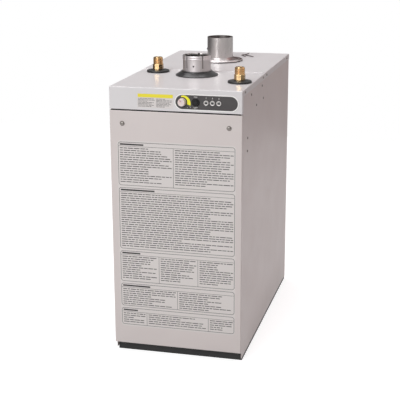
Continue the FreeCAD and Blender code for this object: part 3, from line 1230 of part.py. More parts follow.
def flow_sensor_body():
    """Round body with hexagon ends and a bearing spider above and below the turbine."""
    axis = V(COLD_X, COLD_Y, FLOW_Z0)
    body = fused(hexagon(FLOW_SENSOR_FLATS, axis, UP, FLOW_SENSOR_HEIGHT),
                 rod(FLOW_SENSOR_RADIUS, axis + UP * FLOW_SENSOR_END, UP, FLOW_SENSOR_HEIGHT - 2 * FLOW_SENSOR_END))
    body = body.cut(rod(NIPPLE_BORE, axis, UP, FLOW_SENSOR_HEIGHT))
    pieces = []
    half = SPIDER_ARM_WIDTH / 2
    for z in (TURBINE_Z - LOOSE - SPIDER_HEIGHT, TURBINE_Z + TURBINE_LENGTH + LOOSE):
        for k in range(SPIDER_ARMS):
            arm = box(COLD_X, COLD_X + NIPPLE_BORE + LOOSE, COLD_Y - half, COLD_Y + half, z, z + SPIDER_HEIGHT)
            arm.rotate(V(COLD_X, COLD_Y, 0), UP, 360.0 / SPIDER_ARMS * k)
            pieces.append(arm)
        pieces.append(rod(SPINDLE_RADIUS + SPIDER_WALL, V(COLD_X, COLD_Y, z), UP, SPIDER_HEIGHT))
    bearing = rod(SPINDLE_RADIUS + RUNNING, V(COLD_X, COLD_Y, TURBINE_Z - 2 * SPIDER_HEIGHT), UP,
                  TURBINE_LENGTH + 4 * SPIDER_HEIGHT)
    return fused(body, *pieces).cut(bearing)


def flow_turbine():
    spindle = rod(SPINDLE_RADIUS, V(COLD_X, COLD_Y, TURBINE_Z - SPIDER_HEIGHT), UP,
                  TURBINE_LENGTH + 2 * SPIDER_HEIGHT)
    hub = rod(2 * SPINDLE_RADIUS, V(COLD_X, COLD_Y, TURBINE_Z), UP, TURBINE_LENGTH)
    half = TURBINE_LENGTH / 2
    reach = half - SPINDLE_RADIUS
    blades = []
    for k in range(TURBINE_BLADES):
        blade = box(0, TURBINE_RADIUS, -TURBINE_SHEET / 2, TURBINE_SHEET / 2, -reach, reach)
        blade.rotate(V(), RIGHT, TURBINE_TWIST)
        blade.rotate(V(), UP, 360.0 / TURBINE_BLADES * k)
        blade.translate(V(COLD_X, COLD_Y, TURBINE_Z + half))
        blades.append(blade)
    envelope = rod(TURBINE_RADIUS, V(COLD_X, COLD_Y, TURBINE_Z), UP, TURBINE_LENGTH)
    return fused(spindle, hub, *[blade.common(envelope) for blade in blades])


def drain_valve_body():
    """Ball valve body with a hexagon inlet, a spout turned down and a bonnet for the stem."""
    inlet = V(-PORT_X, INSULATION_FRONT, DRAIN_Z)
    ball = DRAIN_HEX_LENGTH - DRAIN_SINK
    tail = ball + DRAIN_BALL_LENGTH
    corner = inlet + FRONT * (DRAIN_LENGTH + DRAIN_SPOUT_BEND)
    body = fused(hexagon(1.7 * DRAIN_RADIUS, inlet, FRONT, DRAIN_HEX_LENGTH),
                 rod(DRAIN_RADIUS, inlet + FRONT * ball, FRONT, DRAIN_BALL_LENGTH),
                 rod(1.25 * DRAIN_SPOUT, inlet + FRONT * tail, FRONT, DRAIN_LENGTH - tail))
    spout = bent_tube([inlet + FRONT * tail, corner, corner - UP * DRAIN_SPOUT_DROP],
                      DRAIN_SPOUT_BEND, DRAIN_SPOUT, 0.7 * DRAIN_SPOUT)
    bonnet = rod(DRAIN_BONNET_RADIUS, V(-PORT_X, DRAIN_Y, DRAIN_Z), UP, DRAIN_RADIUS + DRAIN_BONNET)
    body = fused(body, spout, bonnet)
    return body.cut(rod(DRAIN_STEM + RUNNING, V(-PORT_X, DRAIN_Y, DRAIN_Z), UP, DRAIN_RADIUS + 2 * DRAIN_BONNET))


def drain_valve_handle():
    pivot = V(-PORT_X, DRAIN_Y, DRAIN_Z)
    lever_z = DRAIN_Z + DRAIN_RADIUS + DRAIN_BONNET + LOOSE
    stem = rod(DRAIN_STEM, pivot + UP * LOOSE, UP, DRAIN_RADIUS + DRAIN_BONNET + 2 * LEVER_SHEET)
    half = LEVER_WIDTH / 2
    lever = box(-PORT_X - half, -PORT_X + LEVER_LENGTH, DRAIN_Y - half, DRAIN_Y + half,
                lever_z, lever_z + LEVER_SHEET)
    lever = round_edges(lever, LEVER_CORNER, lambda p: near(p.x, -PORT_X + LEVER_LENGTH), UP)
    return fused(stem, lever)


def main_control_box():
    """Lidded electronics box on the left side panel; the lid's rim stands proud all round."""
    depth, length, height = CONTROL_BOX
    x0 = -X_IN
    y0 = Y_SIDE_FRONT + CONTROL_BOX_SETBACK
    z1 = Z_TOP - CONTROL_BOX_DROP
    body = box(x0, x0 + depth, y0, y0 + length, z1 - height, z1)
    body = round_edges(body, CONTROL_BOX_CORNER, lambda p: near(p.x, x0 + depth))
    lid = x0 + depth - LID_DEPTH
    rim = box(lid - LID_RIM, lid, y0 - LID_PROUD, y0 + length + LID_PROUD, z1 - height - LID_PROUD, z1 + LID_PROUD)
    return fused(body, rim)


def cord_gland():
    wall = V(GLAND_X, Y_SIDE_BACK, GLAND_Z)
    wide = GLAND_RADIUS + GLAND_RIM
    flange = SHEET + GLAND_FLANGE
    outside = turned([(0, SHEET), (wide, SHEET), (wide, flange), (GLAND_RADIUS - GLAND_RIM, flange + GLAND_RIM),
                      (GLAND_RADIUS - 2 * GLAND_RIM, SHEET + GLAND_PROUD), (0, SHEET + GLAND_PROUD)], wall, BACK)
    neck = rod(GLAND_RADIUS - SHEET, wall, BACK, SHEET)
    nut = hexagon(2 * GLAND_RADIUS + GLAND_RIM, wall - BACK * GLAND_NUT, BACK, GLAND_NUT)
    bore = rod(GLAND_BORE, wall - BACK * GLAND_NUT, BACK, GLAND_NUT + SHEET + GLAND_PROUD)
    return fused(outside, neck, nut).cut(bore)


def build():
    os.makedirs("parts", exist_ok=True)
    save("base_pan", base_pan())
    save("right_side_panel", side_panel())
    save("left_side_panel", mirrored(side_panel()))
    save("front_panel", front_panel())
    save("back_panel", back_panel())
    save("front_top_cover", front_top_cover())
    save("rear_top_cover", rear_top_cover())
    save("front_cross_rail", front_cross_rail())
    save("front_panel_screws", *front_panel_screws())
    save("cabinet_screws", *cabinet_screws())
    save("control_escutcheon", control_escutcheon())
    save("temperature_knob", temperature_knob())
    save("knob_shaft", knob_shaft())
    save("temperature_potentiometer", temperature_potentiometer())
    save("power_button", power_button())
    save("power_switch", power_switch())
    save("lamp_bezels", *lamp_bezels())
    save("lamp_lenses", *lamp_lenses())
    save("control_board", *control_board())
    save("cold_water_nipple", water_nipple(COLD_X, COLD_Y))
    save("hot_water_nipple", water_nipple(HOT_X, HOT_Y))
    save("cold_water_grommet", water_grommet(COLD_X, COLD_Y))
    save("hot_water_grommet", water_grommet(HOT_X, HOT_Y))
    save("intake_pipe", intake_pipe())
    save("intake_boot", intake_boot())
    save("exhaust_pipe", exhaust_pipe())
    save("exhaust_gasket", exhaust_gasket())
    save("exhaust_flange", exhaust_flange())
    save("flue_clip", flue_clip())
    save("boiler_shell", boiler_shell())
    save("combustion_chamber", combustion_chamber())
    save("fire_tube_bundle", fire_tube_bundle())
    save("smoke_hood", smoke_hood())
    save("boiler_insulation", boiler_insulation())
    save("boiler_stand", boiler_stand())
    save("overheat_limiter", overheat_limiter())
    save("burner_mounting_plate", burner_mounting_plate())
    save("burner_tube", burner_tube())
    save("nozzle_line", nozzle_line())
    save("flame_diffuser", flame_diffuser())
    save("ignition_electrodes", *ignition_electrodes())
    save("ignition_transformer", ignition_transformer())
    save("flame_sensor", flame_sensor())
    save("blower_housing", blower_housing())
    save("blower_impeller", blower_impeller())
    save("blower_motor", blower_motor())
    save("air_inlet_box", air_inlet_box())
    save("intake_duct", intake_duct())
    save("fuel_inlet_fitting", fuel_inlet_fitting())
    save("fuel_strainer", fuel_strainer())
    save("fuel_pump", fuel_pump())
    save("fuel_lines", *fuel_lines())
    save("cold_water_pipes", *cold_water_pipes())
    save("hot_water_pipe", hot_water_pipe())
    save("flow_sensor_body", flow_sensor_body())
    save("flow_turbine", flow_turbine())
    save("drain_valve_body", drain_valve_body())
    save("drain_valve_handle", drain_valve_handle())
    save("main_control_box", main_control_box())
    save("cord_gland", cord_gland())


build()
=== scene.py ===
# %% [markdown]
# # Dressing an oil-fired water heater
#
# The shapes of this heater are already solid parts: sheet-steel panels, stubs, nipples, a boiler and a burner.
# This lesson gives them their looks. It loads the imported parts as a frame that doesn't move, sets up a plain
# photographic studio, mixes one finish for each real material, and adds the fine pieces that solids leave out:
# printed films, screw recesses, pipe threads, lips, seals and a weld seam.

# %% Load the frame
import json
import math
import random
from functools import partial

import bmesh
import bpy
from mathutils import Matrix, Vector


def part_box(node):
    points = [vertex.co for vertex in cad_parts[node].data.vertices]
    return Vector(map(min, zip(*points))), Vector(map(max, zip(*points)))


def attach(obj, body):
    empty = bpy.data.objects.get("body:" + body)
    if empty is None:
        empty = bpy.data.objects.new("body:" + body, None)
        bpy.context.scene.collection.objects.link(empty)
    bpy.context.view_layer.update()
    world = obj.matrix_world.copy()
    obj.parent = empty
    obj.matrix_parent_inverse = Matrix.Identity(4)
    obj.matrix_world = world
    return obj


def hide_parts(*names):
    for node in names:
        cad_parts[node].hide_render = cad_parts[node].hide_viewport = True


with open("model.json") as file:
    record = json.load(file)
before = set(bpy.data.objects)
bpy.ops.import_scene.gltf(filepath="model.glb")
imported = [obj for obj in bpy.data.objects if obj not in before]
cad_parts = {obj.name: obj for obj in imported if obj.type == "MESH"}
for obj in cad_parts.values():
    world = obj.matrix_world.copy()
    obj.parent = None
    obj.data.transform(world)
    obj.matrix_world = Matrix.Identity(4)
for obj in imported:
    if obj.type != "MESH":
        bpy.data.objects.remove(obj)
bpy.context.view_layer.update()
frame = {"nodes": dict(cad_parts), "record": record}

MM = 0.001
scene = bpy.context.scene

# %% [markdown]
# ## The camera
#
# The heater stands in front of a long lens, a little to the right of its front and a little above it. A camera
# can be placed with a Track To constraint, but plain rotations are exact and stay where they are put. A new camera
# looks down, so it is turned to its azimuth, tipped up to its elevation and rolled by a hair, and then moved back
# along its own view. The numbers come from fitting the cabinet's nine visible corners.

# %% Camera
VIEW_AZIMUTH = 0.24852
VIEW_ELEVATION = 0.274125
VIEW_ROLL = -0.0032464
VIEW_OFFSET = (-23.302, 335.222, 3180.384)
FOCAL_PIXELS = 1055.975
FRAME_PIXELS = 400
SENSOR_WIDTH = 36.0
FAR_CLIP = 50


def linked(name, data):
    """A new object that shows the data, placed in the scene."""
    made = bpy.data.objects.new(name, data)
    scene.collection.objects.link(made)
    return made


lens = bpy.data.cameras.new("studio_camera")
lens.sensor_fit = "HORIZONTAL"
lens.sensor_width = SENSOR_WIDTH
lens.lens = FOCAL_PIXELS / FRAME_PIXELS * SENSOR_WIDTH
lens.clip_end = FAR_CLIP
camera = linked("studio_camera", lens)
view = Matrix.Rotation(VIEW_AZIMUTH, 4, "Z") @ Matrix.Rotation(math.pi / 2 - VIEW_ELEVATION, 4, "X")
view = view @ Matrix.Rotation(VIEW_ROLL, 4, "Z")
camera.matrix_world = view @ Matrix.Translation(Vector(VIEW_OFFSET) * MM)
bpy.context.scene.camera = camera
print("camera at", tuple(round(v, 3) for v in camera.location), "lens", round(lens.lens, 1))

# %% [markdown]
# ## Tools for node trees
#
# The world, the floor and every finish are trees of nodes. Each node could be made, set and linked in lines of its
# own, but ten nodes then take forty lines. One helper places a node and fills its sockets, with plain values or
# other nodes' outputs alike, and a few more do the sums that come back again and again.

# %% Node tools


def srgb(red, green, blue):
    """A colour as it reads on a screen, 0 to 255, turned into the linear values that shaders use."""
    def linear(value):
        value /= 255
        return value / 12.92 if value <= 0.04045 else ((value + 0.055) / 1.055) ** 2.4
    return (linear(red), linear(green), linear(blue), 1.0)


def grey(level):
    return (level, level, level, 1)


def feed(tree, socket, value):
    """Link an output to a socket, or give the socket a plain value."""
    if isinstance(value, bpy.types.NodeSocket):
        tree.links.new(value, socket)
    else:
        socket.default_value = value


def add_node(tree, kind, *values, **settings):
    """Add a node. Values fill its sockets in order; settings are its properties, or its sockets by name."""
    node = tree.nodes.new("ShaderNode" + kind)
    for key, value in settings.items():
        if hasattr(node, key):
            setattr(node, key, value)
        else:
            feed(tree, node.inputs[key.replace("_", " ")], value)
    for socket, value in zip(node.inputs, values):
        feed(tree, socket, value)
    return node


def output(tree, kind, *values, **settings):
    """Add a node and give back its first output."""
    return add_node(tree, kind, *values, **settings).outputs[0]


def math_node(tree, operation, first, second, clamp=False):
    return output(tree, "Math", first, second, operation=operation, use_clamp=clamp)


def vector_math(tree, operation, *values):
    return output(tree, "VectorMath", *values, operation=operation)


def ranged(tree, value, low, high, start=0.0, end=1.0):
    """Stretch a value so that start..end becomes low..high."""
    return output(tree, "MapRange", value, start, end, low, high)


def shaded(tree, colour, factor):
    """Multiply a colour by a grey factor that changes over the surface."""
    return output(tree, "VectorMath", colour, operation="SCALE", Scale=factor)


def mixed(tree, factor, first, second):
    """A colour between two others."""
    node = add_node(tree, "Mix", factor, data_type="RGBA")
    for socket, colour in zip(node.inputs[6:8], (first, second)):
        feed(tree, socket, colour)
    return node.outputs[2]


def noise(tree, vector, scale, detail=2.0, roughness=0.5):
    return add_node(tree, "TexNoise", Vector=vector, Scale=scale, Detail=detail, Roughness=roughness).outputs["Fac"]


def swing(tree, value, amount, spread=0.2):
    """Turn a noise into a value that swings evenly about 0, by the amount at most within the spread about 0.5."""
    return math_node(tree, "MULTIPLY", ranged(tree, value, -1, 1, 0.5 - spread, 0.5 + spread), amount)


print("node tools ready")

# %% [markdown]
# ## The studio
#
# A product photograph on white has no horizon. Here the world is weak light with a trace of warmth. Light Path
# replaces it wherever a ray looks straight at it: the camera sees plain white, and a mirror sees a ring of lighter
# and darker walls, because metal among white walls alone looks flat. The floor is a large matt sheet with its own
# glow for those same rays, so it reads as white paper but keeps the shadow of the heater. Two broad area lamps model
# the form: the key lamp brightens the front and the top lamp the covers, and the right side stays darker. A third,
# very weak and warm, evens out that side from top to bottom.

# %% World and floor
scene.view_settings.view_transform = "Standard"
WARM_SOFT = (1, 0.885, 0.895, 1)
DARKEST_WALL = 0.16
WALLS = [(-165, 0.22), (-140, 0.44), (-120, 0.62), (-103, 0.82), (-85, 0.72), (-62, 0.58), (-40, 0.52), (-12, 0.46),
         (15, 0.52), (60, 0.5), (104, 0.34), (135, 0.16)]
FLOOR_GREY = 0.5


def seen_directly(tree):
    """1 for camera, mirror and transmission rays, 0 for the light that falls on the object."""
    path = add_node(tree, "LightPath").outputs
    either = math_node(tree, "MAXIMUM", path["Is Camera Ray"], path["Is Glossy Ray"])
    return math_node(tree, "MAXIMUM", either, path["Is Transmission Ray"])


def studio_walls(tree):
    """What a mirror sees round the heater: greys by compass direction, in degrees from the right, from WALLS."""
    direction = add_node(tree, "TexCoord").outputs["Generated"]
    x, y, _ = add_node(tree, "SeparateXYZ", direction).outputs
    compass = ranged(tree, math_node(tree, "ARCTAN2", y, x), 0, 1, -math.pi, math.pi)
    walls = add_node(tree, "ValToRGB", compass)
    walls.color_ramp.interpolation = "EASE"
    stops = walls.color_ramp.elements
    for stop in stops:
        stop.color = grey(DARKEST_WALL)
    for degrees, level in WALLS:
        stops.new((degrees + 180) / 360).color = grey(level)
    return walls.outputs["Color"]


def bare_tree(owner):
    owner.use_nodes = True
    owner.node_tree.nodes.clear()
    return owner.node_tree


def build_world(light, shown):
    world = bpy.data.worlds.new("studio_world")
    tree = bare_tree(world)
    soft = output(tree, "Background", Color=WARM_SOFT, Strength=light)
    paper = output(tree, "Background", Color=grey(1), Strength=shown)
    mirrored = output(tree, "Background", Color=studio_walls(tree))
    mirror_ray = add_node(tree, "LightPath").outputs["Is Glossy Ray"]
    seen = output(tree, "MixShader", mirror_ray, paper, mirrored)
    add_node(tree, "OutputWorld", output(tree, "MixShader", seen_directly(tree), soft, seen))
    scene.world = world


def to_mesh(bm, name):
    """Plain mesh data from a bmesh, which is freed."""
    mesh = bpy.data.meshes.new(name)
    bm.to_mesh(mesh)
    bm.free()
    return mesh


def build_floor(size, glow):
    bm = bmesh.new()
    bmesh.ops.create_grid(bm, x_segments=1, y_segments=1, size=size)
    paper = bpy.data.materials.new("studio_paper")
    tree = bare_tree(paper)
    matt = output(tree, "BsdfDiffuse", Color=grey(FLOOR_GREY))
    glowing = output(tree, "AddShader", matt, output(tree, "Emission", Strength=glow))
    add_node(tree, "OutputMaterial", output(tree, "MixShader", seen_directly(tree), matt, glowing))
    floor = linked("studio_floor", to_mesh(bm, "studio_floor"))
    floor.data.materials.append(paper)


build_world(light=0.25, shown=1.0)
build_floor(size=2.5, glow=0.79)
print("world and floor ready")

# %% Lamps


def softbox(name, place, target, width, height, watts, colour):
    data = bpy.data.lights.new(name, "AREA")
    data.color = colour
    data.shape = "RECTANGLE"
    data.size = width
    data.size_y = height
    data.energy = watts
    direction = Vector(target) - Vector(place)
    turn = direction.to_track_quat("-Z", "Y").to_matrix().to_4x4()
    linked(name, data).matrix_world = Matrix.Translation(place) @ turn


softbox("key_lamp", (-0.9, -3.3, 2.2), (0, -0.1, 0.45), width=2.2, height=1.8, watts=84, colour=(0.96, 0.99, 1.0))
softbox("top_lamp", (-0.4, 0.6, 3.2), (0, 0, 0.7), width=1.8, height=1.8, watts=41, colour=(0.98, 0.98, 1.0))
softbox("fill_lamp", (1.9, 0.4, 1.9), (0.17, 0.1, 0.7), width=1.2, height=1.2, watts=5.2, colour=(1.0, 0.68, 0.64))

# %% [markdown]
# ## Effects shared by many finishes
#
# Real surfaces repeat a few effects: sprayed paint has orange peel, rolled and drawn metal has grain, moulded
# plastic carries the texture of its tool and a bloom of dust, and blankets and gaskets are pressed fibre. Each
# effect could be copied into every material, but then a change has to be made many times. So each is one node group
# with named sockets, built once; a material places it and gives it its own colour, scale and depth.

# %% Tools for node groups
KINDS = {"Vector": "NodeSocketVector", "Color": "NodeSocketColor"}


def group_socket(group, label, way):
    """A socket of a group: a vector or a colour by its name, otherwise a number."""
    return group.interface.new_socket(name=label, in_out=way, socket_type=KINDS.get(label, "NodeSocketFloat"))


def start_group(name, **inputs):
    """A node group that takes a Vector and these inputs."""
    group = bpy.data.node_groups.new(name, "ShaderNodeTree")
    group_socket(group, "Vector", "INPUT")
    for label, value in inputs.items():
        group_socket(group, label, "INPUT").default_value = value
    return group, group.nodes.new("NodeGroupInput").outputs


def end_group(group, **results):
    """Give a group its outputs."""
    for label in results:
        group_socket(group, label, "OUTPUT")
    out = group.nodes.new("NodeGroupOutput").inputs
    for label, value in results.items():
        feed(group, out[label], value)
    print(group.name, len(group.nodes), "nodes")
    return group


print("group tools ready")

# %% Sprayed film: orange peel, faint mottle


def build_sprayed_film():
    group, given = start_group("sprayed_film", Color=grey(0.8), Roughness=0.35, Peel=420.0, Mottle=0.03)
    peel = noise(group, given["Vector"], given["Peel"], detail=1.0)
    mottle = swing(group, noise(group, given["Vector"], 5.0, detail=3.0), given["Mottle"])
    handled = noise(group, given["Vector"], 14.0, detail=4.0, roughness=0.6)
    rough = math_node(group, "ADD", given["Roughness"], ranged(group, handled, -0.05, 0.07, 0.3, 0.7), clamp=True)
    toned = shaded(group, given["Color"], math_node(group, "ADD", 1.0, mottle))
    return end_group(group, Color=toned, Roughness=rough, Height=peel)


SPRAYED_FILM = build_sprayed_film()

# %% Worked grain: the fine lines that rolling, drawing, turning or brushing leave in metal


def build_worked_grain():
    group, given = start_group("worked_grain", Color=grey(0.7), Roughness=0.3, Scale=300.0, Contrast=0.12)
    lines = noise(group, given["Vector"], given["Scale"], detail=4.0, roughness=0.65)
    grain = swing(group, lines, given["Contrast"], spread=0.25)
    blotch = ranged(group, noise(group, given["Vector"], 3.0, detail=3.0), 0.94, 1.04, 0.3, 0.7)
    tone = math_node(group, "MULTIPLY", math_node(group, "ADD", 1.0, grain), blotch)
    rough = math_node(group, "ADD", given["Roughness"], grain, clamp=True)
    return end_group(group, Color=shaded(group, given["Color"], tone), Roughness=rough, Height=lines)


WORKED_GRAIN = build_worked_grain()

# %% Moulded skin: the fine pitted texture of plastic and rubber, with a bloom of dust
DUST = (0.62, 0.6, 0.57, 1)


def build_moulded_skin():
    group, given = start_group("moulded_skin", Color=grey(0.1), Roughness=0.5, Pits=1400.0, Bloom=0.05)
    pits = add_node(group, "TexVoronoi", feature="SMOOTH_F1", Vector=given["Vector"], Scale=given["Pits"])
    patch = noise(group, given["Vector"], 22.0, detail=5.0, roughness=0.65)
    dusty = math_node(group, "MULTIPLY", ranged(group, patch, 0, 1, 0.4, 0.75), given["Bloom"])
    rough = math_node(group, "ADD", given["Roughness"], ranged(group, patch, -0.06, 0.08, 0.3, 0.7), clamp=True)
    return end_group(group, Color=mixed(group, dusty, given["Color"], DUST), Roughness=rough,
                     Height=pits.outputs["Distance"])


MOULDED_SKIN = build_moulded_skin()

# %% Pressed fibre: crossing threads of blanket and gasket
BEND = (0.02, 0.02, 0.02)


def build_pressed_fibre():
    group, given = start_group("pressed_fibre", Color=(0.8, 0.8, 0.7, 1), Threads=500.0, Shade=0.2)
    warp = add_node(group, "TexNoise", Vector=given["Vector"], Scale=60.0, Detail=3.0).outputs["Color"]
    bent = vector_math(group, "MULTIPLY_ADD", warp, BEND, given["Vector"])
    threads = add_node(group, "TexVoronoi", feature="DISTANCE_TO_EDGE", Vector=bent, Scale=given["Threads"])
    fluff = noise(group, given["Vector"], 90.0, detail=6.0, roughness=0.7)
    toned = shaded(group, given["Color"], math_node(group, "ADD", 1.0, swing(group, fluff, given["Shade"])))
    return end_group(group, Color=toned, Height=math_node(group, "ADD", threads.outputs["Distance"], fluff))


PRESSED_FIBRE = build_pressed_fibre()

# %% [markdown]
# ## One material for each real finish
#
# A finish is a shader with a colour, a gloss and a bump. Values that are the same all over stay on the shader's own
# sockets; only what changes over the surface comes from a group. A Mapping node stretches the grain of worked metal
# along the way the metal was rolled, drawn or turned.

# %% Material maker
FINISH = {}
SHADER_SOCKETS = {"coat": ("Coat Weight", "Coat Roughness"), "sheen": ("Sheen Weight", "Sheen Roughness"),
                  "subsurface": ("Subsurface Weight", "Subsurface Scale"), "specular": ("Specular IOR Level",),
                  "metallic": ("Metallic",), "even_roughness": ("Roughness",)}


def new_finish(name, colour, bump, group, grain=(1, 1, 1), relief=0.0002, **values):
    """A Principled material fed by a shared group. Values named in SHADER_SOCKETS go to the shader itself."""
    material = bpy.data.materials.new(name)
    material.use_nodes = True
    tree = material.node_tree
    surface = tree.nodes["Principled BSDF"].inputs
    stretched = output(tree, "Mapping", add_node(tree, "TexCoord").outputs["Object"], Scale=grain)
    effect = add_node(tree, "Group", stretched, node_tree=group, Color=srgb(*colour))
    feed(tree, surface["Base Color"], effect.outputs["Color"])
    if "Roughness" in effect.outputs:
        feed(tree, surface["Roughness"], effect.outputs["Roughness"])
    raised = output(tree, "Bump", Strength=bump, Distance=relief, Height=effect.outputs["Height"])
    feed(tree, surface["Normal"], raised)
    for label, value in values.items():
        if label in SHADER_SOCKETS:
            numbers = value if isinstance(value, tuple) else (value,)
            for socket, number in zip(SHADER_SOCKETS[label], numbers):
                surface[socket].default_value = number
        else:
            effect.inputs[label.capitalize()].default_value = value
    FINISH[name] = material


def base_colour(name):
    """The node tree of a finish, its Base Color socket and what feeds that now."""
    tree = FINISH[name].node_tree
    socket = tree.nodes["Principled BSDF"].inputs["Base Color"]
    return tree, socket, socket.links[0].from_socket


def tint_near_axis(name, centre, fade, tint):
    """Tint a finish inside an upright cylinder, in metres; fade is where the tint starts to fade and is gone."""
    tree, socket, colour = base_colour(name)
    from_axis = vector_math(tree, "SUBTRACT", add_node(tree, "TexCoord").outputs["Object"], (*centre, 0))
    level = vector_math(tree, "MULTIPLY", from_axis, (1, 1, 0))
    radius = add_node(tree, "VectorMath", level, operation="LENGTH").outputs["Value"]
    wanted = mixed(tree, ranged(tree, radius, 0, 1, *fade), tint, grey(1))
    feed(tree, socket, vector_math(tree, "MULTIPLY", colour, wanted))


def shade_by_attribute(name, attribute):
    """Multiply a finish's colour by a value that the mesh carries, so that single faces can be darker: painted shade.
    """
    tree, socket, colour = base_colour(name)
    painted_shade = add_node(tree, "Attribute", attribute_name=attribute).outputs["Fac"]
    feed(tree, socket, shaded(tree, colour, math_node(tree, "SUBTRACT", 1.0, painted_shade)))


paint = partial(new_finish, group=SPRAYED_FILM)
metal = partial(new_finish, group=WORKED_GRAIN, metallic=1.0)
moulded = partial(new_finish, group=MOULDED_SKIN)
fibre = partial(new_finish, group=PRESSED_FIBRE)
print("values that go to the shader itself:", sorted(SHADER_SOCKETS))

# %% [markdown]
# ### Paint
#
# The cabinet is powder-coated: warm light grey on the panels, a cooler and slightly whiter grey on the two top
# covers, which come from another batch and are glossier. The tray is black enamel. A thin coat on the shader gives
# the soft mirror of the surroundings that the top shows, over a body that stays matt.

# %% Paint finishes
paint("cabinet_paint", (218, 209, 206), bump=0.12, roughness=0.42, peel=380, mottle=0.018, coat=(0.12, 0.22),
      specular=0.4)
paint("cover_paint", (224, 221, 221), bump=0.06, roughness=0.36, peel=300, mottle=0.012, coat=(0.15, 0.12),
      specular=0.4)
paint("cover_gloss", (236, 233, 233), bump=0.03, roughness=0.24, peel=300, mottle=0.01, coat=(0.25, 0.1))
paint("base_black", (22, 21, 21), bump=0.2, roughness=0.6, peel=600, mottle=0.12)
paint("boiler_steel", (66, 66, 68), bump=0.5, roughness=0.6, peel=260, mottle=0.15)
paint("motor_paint", (44, 50, 58), bump=0.3, roughness=0.38, peel=520, mottle=0.08, coat=(0.2, 0.2))
print("paints", sorted(FINISH))

# %% [markdown]
# ### Metal
#
# Rolled stainless has long vertical grain on the two stubs, brass was turned so its grain runs round, copper tube is
# drawn along its length, and zinc has a soft spangle. Metallic 1 with a clean specular colour is enough; what makes
# each one itself is grain direction, contrast and roughness. Three finishes carry a tint that reaches only to a given
# distance from an axis: inside the intake stub it is painted shade, inside the flue stub soot with painted shade, and
# round the flue heat tint, set off to the right, where it is also a painted reflection.

# %% Metal finishes
metal("stainless", (204, 198, 196), bump=0.06, grain=(1, 1, 0.05), roughness=0.3, scale=420, contrast=0.05)
metal("flue_steel", (204, 198, 196), bump=0.06, grain=(1, 1, 0.05), roughness=0.3, scale=420, contrast=0.05)
metal("intake_steel", (208, 201, 201), bump=0.1, grain=(1, 1, 0.08), roughness=0.5, scale=360, contrast=0.06)
metal("heat_tint_and_reflection_steel", (226, 219, 218), bump=0.06, roughness=0.4, scale=240, contrast=0.06)
# Darker inside the flue stub: soot with painted shade.
tint_near_axis("flue_steel", centre=(0, 0.158), fade=(0.0366, 0.037), tint=(0.7, 0.67, 0.66, 1))
# Inside the intake stub, very dark: painted shade in the tube.
tint_near_axis("intake_steel", centre=(0, -0.12), fade=(0.03685, 0.0379), tint=(0.16, 0.15, 0.14, 1))
# Brown round the flue collar, its centre moved to the right: heat tint and a painted reflection.
tint_near_axis("heat_tint_and_reflection_steel", centre=(0.022, 0.18), fade=(0.047, 0.053), tint=(0.46, 0.38, 0.37, 1))
metal("clip_wire", (150, 138, 138), bump=0.1, roughness=0.4, scale=600, contrast=0.08)
metal("zinc_steel", (188, 191, 195), bump=0.2, roughness=0.38, scale=90, contrast=0.16)
metal("screw_steel", (140, 134, 130), bump=0.2, roughness=0.32, scale=700, contrast=0.1)
metal("lamp_chrome", (218, 214, 211), bump=0.03, roughness=0.35, scale=900, contrast=0.03, metallic=0.25)
metal("brass", (226, 191, 142), bump=0.12, grain=(0.15, 0.15, 1), roughness=0.25, scale=900, contrast=0.07)
# Painted shade on single flats of the brass, read from the mesh.
shade_by_attribute("brass", "flat_painted_shade")
metal("copper", (214, 146, 112), bump=0.1, grain=(1, 1, 0.1), roughness=0.3, scale=500, contrast=0.12)
moulded("burner_alloy", (176, 178, 180), bump=0.6, roughness=0.5, pits=900, bloom=0.1, metallic=0.85)
print("metals ready,", len(FINISH), "finishes so far")

# %% [markdown]
# ### Plastic, rubber, fibre, glaze
#
# The boot is rubber with a soft grey sheen at the edges, the grommets are a darker and duller one, and the
# black of the painted shadows gives no light back. Knob, lenses and glaze are glossy; housings carry a fine
# spark-eroded texture.
# Blanket and gasket are fibre, rough all over.

# %% Other finishes
moulded("rubber_black", (27, 25, 26), bump=0.3, roughness=0.34, pits=1100, bloom=0.02, sheen=(0.05, 0.4),
        coat=(0.3, 0.22))
moulded("grommet_rubber", (16, 15, 17), bump=0.3, roughness=0.42, pits=1100, bloom=0.02, coat=(0.1, 0.25))
# Matt black for painted shadow: the block in the panel gap and the ring under the flue collar.
moulded("painted_shadow_black", (9, 8, 8), bump=0.5, roughness=0.9, pits=500, bloom=0.0, specular=0.1)
moulded("black_plastic", (20, 19, 19), bump=0.3, roughness=0.45, pits=1600, bloom=0.01, specular=0.3)
moulded("resin_block", (54, 54, 58), bump=0.2, roughness=0.3, pits=700, bloom=0.05)
moulded("knob_cream", (233, 216, 212), bump=0.1, roughness=0.32, pits=1800, bloom=0.02, coat=(0.25, 0.15),
        subsurface=(0.08, 0.002))
moulded("strip_grey", (74, 71, 71), bump=0.15, roughness=0.5, pits=2200, bloom=0.02, specular=0.35)
moulded("lamp_lens", (30, 26, 26), bump=0.02, roughness=0.1, pits=900, bloom=0.01, coat=(0.6, 0.05))
paint("board_green", (38, 96, 62), bump=0.1, roughness=0.3, peel=900, mottle=0.1, coat=(0.4, 0.12))
paint("porcelain", (238, 234, 224), bump=0.05, roughness=0.18, peel=200, mottle=0.03, coat=(0.5, 0.06))
fibre("insulation_fibre", (232, 222, 176), bump=0.9, relief=0.0015, threads=260, shade=0.14, even_roughness=0.95,
      sheen=0.3)
fibre("gasket_grey", (176, 172, 166), bump=0.5, relief=0.0004, threads=700, shade=0.12, even_roughness=0.9)
print(len(FINISH), "finishes")

